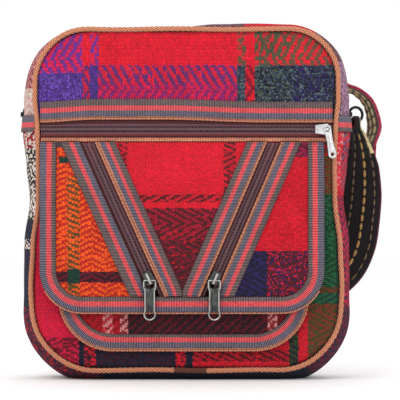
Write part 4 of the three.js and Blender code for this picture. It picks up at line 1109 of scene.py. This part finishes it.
# Strap: the frame's route, but behind the right ring it leans out up to 2 mm more. Each row: across as a
# share of the half width, distance behind the back's face as a share of the half depth, height over the
# rings as a share of the strap's drop, share of the full width, and the direction of the width.
STRAP_ROWS = [
    (1.146, -0.42, -0.086, 0.32, 1, 0, 0), (1.165, -0.42, -0.168, 0.5, 1, -0.1, 0),
    (1.175, -0.36, -0.268, 0.8, 0.96, -0.28, 0), (1.175, -0.2, -0.406, 0.97, 0.93, -0.36, 0),
    (1.16, 0.05, -0.552, 1, 0.95, -0.3, 0), (1.13, 0.18, -0.689, 1, 0.95, -0.1, -0.2),
    (1.06, 0.2, -0.799, 1, 0.8, 0, -0.6), (0.9, 0.16, -0.896, 1, 0.55, 0, -0.83),
    (0.66, 0.13, -0.963, 1, 0.3, 0, -0.95), (0, 0.1, -1, 1, 0, 0, -1), (-0.4, 0.1, -1, 1, 0, 0, -1),
    (-0.7, 0.26, -1, 1, 0, 0, -1), (-0.62, 0.4, -1, 1, 0, 0, -1), (-0.4, 0.36, -1, 1, 0, 0, -1),
    (0, 0.28, -1, 1, 0, 0, -1), (0.66, 0.3, -0.963, 1, 0.3, 0, -0.95),
    (0.9, 0.34, -0.896, 1, 0.55, 0, -0.83), (1.06, 0.4, -0.799, 1, 0.8, 0, -0.6),
    (1.12, 0.42, -0.689, 1, 0.95, -0.1, -0.2), (1.15, 0.4, -0.552, 1, 0.95, -0.25, 0),
    (1.18, 0.42, -0.406, 1, 0.8, -0.6, 0), (1.215, 0.46, -0.278, 1, 0.4, -0.92, 0),
    (1.25, 0.52, -0.159, 1, 0.22, -0.97, 0), (1.282, 0.58, -0.076, 1, 0.24, -0.97, 0),
    (1.274, 0.64, 0, 1, 0.18, -0.98, 0), (1.245, 0.7, 0.07, 1, 0.1, -0.98, 0.06),
    (1.185, 0.74, 0.122, 1, 0.04, -1, 0.06), (1.105, 0.76, 0.152, 1, 0, -1, 0.05),
    (0.98, 0.74, 0.174, 1, 0, -1, 0.1), (0.74, 0.6, 0.183, 1, 0, -0.85, 0.5),
    (0.42, 0.38, 0.18, 1, 0, -0.45, 0.9), (0.08, 0.2, 0.171, 1, 0, -0.1, 1),
    (-0.35, 0.18, 0.143, 1, 0, 0, 1), (-0.7, 0.24, 0.099, 0.94, 0.1, 0, 1),
    (-0.92, 0.36, 0.055, 0.72, 0.1, 0, 1), (-1.03, 0.27, 0.019, 0.4, 0.1, 0, 1),
]

# The sewn end beside a ring, from its tip: distances along and behind, share of the end's width
TAIL_ROWS = [(14, 1.9, 2), (8, 1.5, 1.5), (3, 1, 1)]


def strap_fold(centre, pull, back, face_way):
    """The end that wraps a ring, as rows of place, width and direction of the width."""
    r = WIRE + 2 * GAP + STRAP_THICK / 2 + RING - math.sqrt(RING ** 2 - (STRAP_END / 2) ** 2)
    rows = [(centre + pull * a + back * r * b, STRAP_END * w) for a, b, w in TAIL_ROWS]
    for a in np.radians(range(0, 181, 36)):
        rows.append((centre - pull * r * math.sin(a) + back * r * math.cos(a), STRAP_END))
    rows.append((centre + pull * TAIL_ROWS[-1][0] - back * r, STRAP_END))
    return [(*row, unit(face_way)) for row in rows]


def quarter(v):
    """A level direction turned a quarter to the left."""
    return np.array([-v[1], v[0], 0])


def strap_route():
    right = strap_fold(RIGHT_RING - UP * RING, -UP, -RIGHT_AXIS, quarter(RIGHT_AXIS))
    left = strap_fold(LEFT_RING + quarter(LEFT_AXIS) * RING, BACKWARD, ACROSS, UP)
    middle = []
    for across, behind, rise, wide, *way in STRAP_ROWS:
        x, z = across * HALF_WIDTH, RING_Z + rise * STRAP_DROP
        middle.append((np.array([x, face(x, z) + behind * SEAM, z]), wide * STRAP_WIDE, unit(way)))
    return right + middle + left[::-1]


def centripetal(points, per):
    """A smooth curve through points, with an even number of steps between each two."""
    points = [2 * points[0] - points[1]] + list(points) + [2 * points[-1] - points[-2]]
    out = []
    for p0, p1, p2, p3 in zip(points, points[1:], points[2:], points[3:]):
        d0, d1, d2 = [max(math.dist(a, b), 1e-6) ** 0.5 for a, b in ((p0, p1), (p1, p2), (p2, p3))]
        m1 = ((p1 - p0) / d0 - (p2 - p0) / (d0 + d1) + (p2 - p1) / d1) * d1
        m2 = ((p2 - p1) / d1 - (p3 - p1) / (d1 + d2) + (p3 - p2) / d2) * d1
        for t in np.arange(per) / per:
            out.append((2 * t ** 3 - 3 * t ** 2 + 1) * p1 + (t ** 3 - 2 * t ** 2 + t) * m1
                       + (3 * t ** 2 - 2 * t ** 3) * p2 + (t ** 3 - t ** 2) * m2)
    out.append(points[-2])
    return np.array(out)


# The strap's middle line, half width, directions of its width and of its outer side, and length so far.
# Rows of the route are where its looks change: the cream edge, the stretch behind, the stitches.
STRAP_STEPS = 12
EDGE_ROWS, BACK_ROW, FIRST_STITCH_ROW, STITCHLESS_ROWS = (6.5, 11.4), 29, 10.2, 10
places, widths, ways = zip(*strap_route())
route_rows = np.arange(len(places))
strap_line = centripetal(places, STRAP_STEPS)
at_rows = np.arange(len(strap_line)) / STRAP_STEPS
strap_half = np.interp(at_rows, route_rows, widths) / 2
strap_along = unit(np.gradient(strap_line, axis=0))
strap_face = np.column_stack([np.interp(at_rows, route_rows, column) for column in zip(*ways)])
strap_face = unit(strap_face - strap_along * (strap_face * strap_along).sum(1)[:, None])
strap_out = np.cross(strap_along, strap_face)
strap_run = lengths(strap_line)


def strap_wave(row, share):
    """How far the band's middle surface ripples: pleats where it is gathered, soft waves elsewhere."""
    gathered = 1 - np.clip(strap_half[row] * 2 / STRAP_WIDE, 0, 1)
    pleat = 2.4 * gathered * (1 - gathered) * np.cos(share * 3.5 * math.pi + 0.6)
    fade = (1 - gathered) * np.clip(strap_half[row] / 9 - 0.6, 0, 1)
    return pleat + 0.5 * fade * np.sin(strap_run[row] / 17 + share * 1.7)


def strap_spot(row, share, lift):
    across = strap_face[row] * share * strap_half[row]
    return strap_line[row] + across + strap_out[row] * (strap_wave(row, share) + lift)


def band_section(count, thick, thinning, power):
    """Places across a band, and with them the heights over its middle: along its top and back under it."""
    shares = np.linspace(-1, 1, count)
    high = thick / 2 * np.sqrt(1 - thinning * np.abs(shares) ** power)
    return shares, list(zip(shares, high)) + list(zip(shares[::-1], -high[::-1]))


def strap_band():
    shares, section = band_section(25, STRAP_THICK, 0.55, 14)
    rings = np.array([[strap_spot(row, *spot) for spot in section] for row in range(len(strap_line))])
    cloth = strap_material(*np.interp((*EDGE_ROWS, BACK_ROW), at_rows, strap_run).tolist())
    around = there_and_back((shares + 1) / 2 * STRAP_WIDE)
    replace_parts(loft("band_strap", rings, strap_run, around, cloth), "strap")
    return cloth


STRAP = strap_band()

# Rows of fat stitches along the strap: place across as a share of the half width, colour, length, width,
# thickness
DASH_PITCH = 7.5
FRONT_DASHES = [(0.22, "yellow", 6.2, 2.6, 0.6), (-0.34, "yellow_dim", 5.6, 1.8, 0.55),
                (0.7, "yellow_dim", 5.6, 1.6, 0.5), (-0.78, "red", 5.0, 1.4, 0.5)]
BACK_DASHES = [(0.5, "cream", 6.6, 6.0, 1.1), (-0.1, "cream", 6.6, 5.4, 1.0),
               (-0.66, "yellow", 6.2, 4.0, 0.9)]
# The yellow_dim stitches are a darker yellow than the yellow ones.
THREADS = {name: corded(f"thread_{look}", ink, 1.3, 0.6) for name, look, ink in (
    ("yellow", "yellow", "dash"), ("yellow_dim", "dim_yellow", "dash_dim"), ("red", "red", "strap_edge"),
    ("cream", "cream", "dash_cream"))}


def stitch(spots, out, width, thick):
    """One stitch as a spindle through its spots, flattened against the cloth."""
    points = []
    last = len(spots) - 1
    for k, spot in enumerate(spots):
        r = math.sqrt(max(1 - 0.9 * (k / last * 2 - 1) ** 2, 0.05))
        side = np.cross(unit(spots[min(k + 1, last)] - spots[max(k - 1, 0)]), out)
        points += [spot + side * (width / 2 * r * math.cos(a)) + out * (thick * r * math.sin(a)) for a in SIX]
    return points


def strap_between(at, share, lift):
    row = min(int(at), len(strap_line) - 2)
    rest = at - row
    return strap_spot(row, share, lift) * (1 - rest) + strap_spot(row + 1, share, lift) * rest


def strap_dashes():
    spans = [(FIRST_STITCH_ROW, BACK_ROW, dashes) for dashes in FRONT_DASHES]
    spans += [(BACK_ROW, len(places) - STITCHLESS_ROWS, dashes) for dashes in BACK_DASHES]
    for n, (first, last, (share, thread, long, width, thick)) in enumerate(spans):
        points, faces = [], []
        for start in np.arange(*np.interp((first, last), at_rows, strap_run), DASH_PITCH):
            for side, shift in ((1, 0), (-1, DASH_PITCH / 2)):
                spread = start + shift + np.linspace(0, long, 5)
                rows = np.interp(spread, strap_run, np.arange(len(strap_run)))
                middle = int(rows[2])
                squeeze = min(strap_half[middle] * 2 / STRAP_WIDE + 0.25, 1)
                spots = [strap_between(r, share, side * (STRAP_THICK / 2 + 0.15)) for r in rows]
                faces += tube_faces(len(rows), len(SIX), base=len(points))
                points += stitch(spots, strap_out[middle] * side, width * squeeze, thick)
        uvs = [(points[i][2] * 1.3 + points[i][0], points[i][1]) for f in faces for i in f]
        build(f"stitches_strap_{n}", points, faces, uvs, THREADS[thread])


strap_dashes()


# Rings and the tabs that hold them

def ring(name, centre, axis, node):
    axis = unit(axis)
    a = unit(np.cross(axis, UP))
    turns = np.linspace(0, 2 * math.pi, 64, endpoint=False)[:, None]
    path = centre + RING * (np.cos(turns) * a + np.sin(turns) * np.cross(axis, a))
    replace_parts(loft(name, *tube(path, WIRE, 16, True), BLACK_METAL, closed=True), node)


ring("enamel_ring_right", RIGHT_RING, RIGHT_AXIS, "ring_right")
ring("enamel_ring_left", LEFT_RING, LEFT_AXIS, "ring_left")

# A tab's width and cloth, the space for the wire in its fold, and where its colours lie on the strap's
TAB_WIDE, TAB_CLOTH = 4, 0.9
TAB_HOLE = WIRE + GAP + RING - math.sqrt(RING ** 2 - (TAB_WIDE / 2) ** 2)
TAB_START = 16


def tab(name, base, out, node):
    """A folded strip sewn to the gusset, with the ring's wire in its fold."""
    out = unit(out)
    aside = np.cross(UP, out)
    middle = TAB_HOLE + TAB_CLOTH / 2
    flat = [(0.0, -middle)] + arc(TAB_HOLE + TAB_CLOTH, 0, middle, -90, 90, 12) + [(0.0, middle)]
    path = even([base + out * p + aside * q for p, q in flat], 0.7)
    normal = np.cross(unit(np.gradient(path, axis=0)), UP)
    shares, section = band_section(7, TAB_CLOTH, 0.6, 6)
    rings = np.array([[p + n * h + UP * TAB_WIDE / 2 * s for s, h in section] for p, n in zip(path, normal)])
    around = there_and_back((shares + 1) * TAB_WIDE / 2 + TAB_START)
    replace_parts(loft(name, rings, lengths(path), around, STRAP), node)


right_out = quarter(RIGHT_AXIS)
tab("webbing_tab_right", RIGHT_RING - right_out * (RING + TAB_HOLE + TAB_CLOTH), right_out, "tab_right")
left_base = LEFT_RING - quarter(LEFT_AXIS) * RING + LEFT_AXIS * (TAB_HOLE + TAB_CLOTH)
tab("webbing_tab_left", left_base, -LEFT_AXIS, "tab_left")


# Pulls, drawn flat in their own plane: across and up from the pivot

def within(point, loop):
    x, y = point
    inside = False
    for (ax, ay), (bx, by) in zip(loop, np.roll(loop, -1, axis=0)):
        if (ay > y) != (by > y) and x < (bx - ax) * (y - ay) / (by - ay) + ax:
            inside = not inside
    return inside


def flat_plate(outline, holes, thick):
    """A plate with holes, as points and faces in its own plane."""
    loops = [even(loop, 0.5, True) for loop in (outline, *holes)]
    cloud, edges = [], []
    for loop in loops:
        edges += [(len(cloud) + i, len(cloud) + (i + 1) % len(loop)) for i in range(len(loop))]
        cloud += [Vector(p) for p in loop]
    flat, _, faces, *_ = delaunay_2d_cdt(cloud, edges, [], 0, 1e-6)
    flat = np.array([tuple(p) for p in flat])
    kept = []
    for f in faces:
        middle = flat[list(f)].mean(0)
        if within(middle, loops[0]) and not any(within(middle, hole) for hole in loops[1:]):
            kept.append(tuple(f))
    points = np.vstack([np.column_stack([flat, np.full(len(flat), h)]) for h in (thick / 2, -thick / 2)])
    return points, thicken(kept, len(flat))


def wire_loop(outline, radius, level=0.0):
    path = even(outline, 0.45, True)
    rings = tube(np.column_stack([path, np.full(len(path), level)]), radius, 8, True)[0]
    return rings.reshape(-1, 3), tube_faces(*rings.shape[:2], True)


def inset_outline(outline, by):
    loop = even(outline, 0.4, True)
    x, y = unit(np.roll(loop, -1, axis=0) - np.roll(loop, 1, axis=0)).T
    area = np.sum(loop[:, 0] * np.roll(loop[:, 1], -1) - np.roll(loop[:, 0], -1) * loop[:, 1])
    return loop + np.column_stack([-y, x]) * np.sign(area) * by


def mirrored(left, middle):
    """An outline down the left, through its middle and up the right."""
    return left + middle + [(-x, y) for x, y in reversed(left)]


def assemble(name, shapes, centre, axes, material, body, node):
    """Joins flat shapes into one piece standing at a place, given the directions of its own axes."""
    flat, faces = np.zeros((0, 3)), []
    for shape_points, shape_faces in shapes:
        faces += [tuple(len(flat) + i for i in f) for f in shape_faces]
        flat = np.vstack([flat, shape_points])
    uvs = [tuple(flat[i][:2]) for f in faces for i in f]
    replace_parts(build(name, centre + flat @ np.array(axes), faces, uvs, material, body=body), node)


RIM = 0.62


def slant_pull(side, centre):
    """A plate with a square eye on the bail, narrowing to a round end with a hole."""
    half, bar, eye_half, eye_deep, long = 5.3, 0.8, 3.3, 5.8, 32
    neck = half * 0.8
    ring_y = -long + bar + half * 0.86
    left = [(1.4 - half, bar), (0.3 - half, bar - 0.5), (-half, -1), (-half, -eye_deep),
            (-neck, -eye_deep - 2.2), (-neck, ring_y + half * 0.5)]
    outline = mirrored(left, arc(0, ring_y, half * 0.95, 155, 385))
    eye = [(-eye_half, -bar), (eye_half, -bar), (eye_half, 1 - eye_deep), (eye_half - 1, -eye_deep),
           (1 - eye_half, -eye_deep), (-eye_half, 1 - eye_deep)]
    hole = arc(0, ring_y, half * 0.66, 0, 345)
    top, low = -eye_deep - 2.6, ring_y + half * 0.86 + 0.9
    frame_box = [(-2.3, top), (2.3, top), (2.3, low), (-2.3, low)]
    axes = (ACROSS, UP, -BACKWARD)
    plate = [flat_plate(outline, [eye, hole], 0.9), wire_loop(frame_box, 0.25, 0.4)]
    rims = [wire_loop(inset_outline(outline, RIM), RIM), wire_loop(inset_outline(eye, -RIM * 0.5), RIM * 0.6)]
    for part, shapes, material in (("plate", plate, GUNMETAL), ("rim", rims, RIM_METAL)):
        assemble(f"metal_{side}_pull_{part}", shapes, centre, axes, material, f"{side}_tab", f"{side}_pull")


def main_pull(centre, out, tilt):
    """A waisted plate with a hole at each end, turned in its own plane by a tilt."""
    half, long = 3.3, 27
    far = long - 2 * half
    waist_spot = (half * 0.72, -far / 2)
    outline = arc(0, 0, half, 27, 153) + [(-waist_spot[0], waist_spot[1])] + arc(0, -far, half, 180, 360)
    outline.append(waist_spot)
    holes = [arc(0, 0, 1.7, 0, 345), arc(0, -far, 1.5, 0, 345)]
    along = unit(np.cross(UP, out))
    up = np.cross(out, along)
    a = math.radians(tilt)
    axes = (along * math.cos(a) + up * math.sin(a), up * math.cos(a) - along * math.sin(a), out)
    shapes = [flat_plate(outline, holes, 1.2), wire_loop(inset_outline(outline, RIM), RIM * 1.2)]
    shapes += [wire_loop(inset_outline(hole, -0.4), 0.5) for hole in holes]
    assemble("metal_main_pull", shapes, centre, axes, SILVER, "main_tab", "main_pull")


# Each pull hangs from the middle of its slider's bail
main_pull((112.273, -40.445, 200.038), (0.06231, -0.99802, 0.00843), 11)
slant_pull("left", (-29.004, -54.744, 79.944))
slant_pull("right", (22.1, -54.799, 79.924))
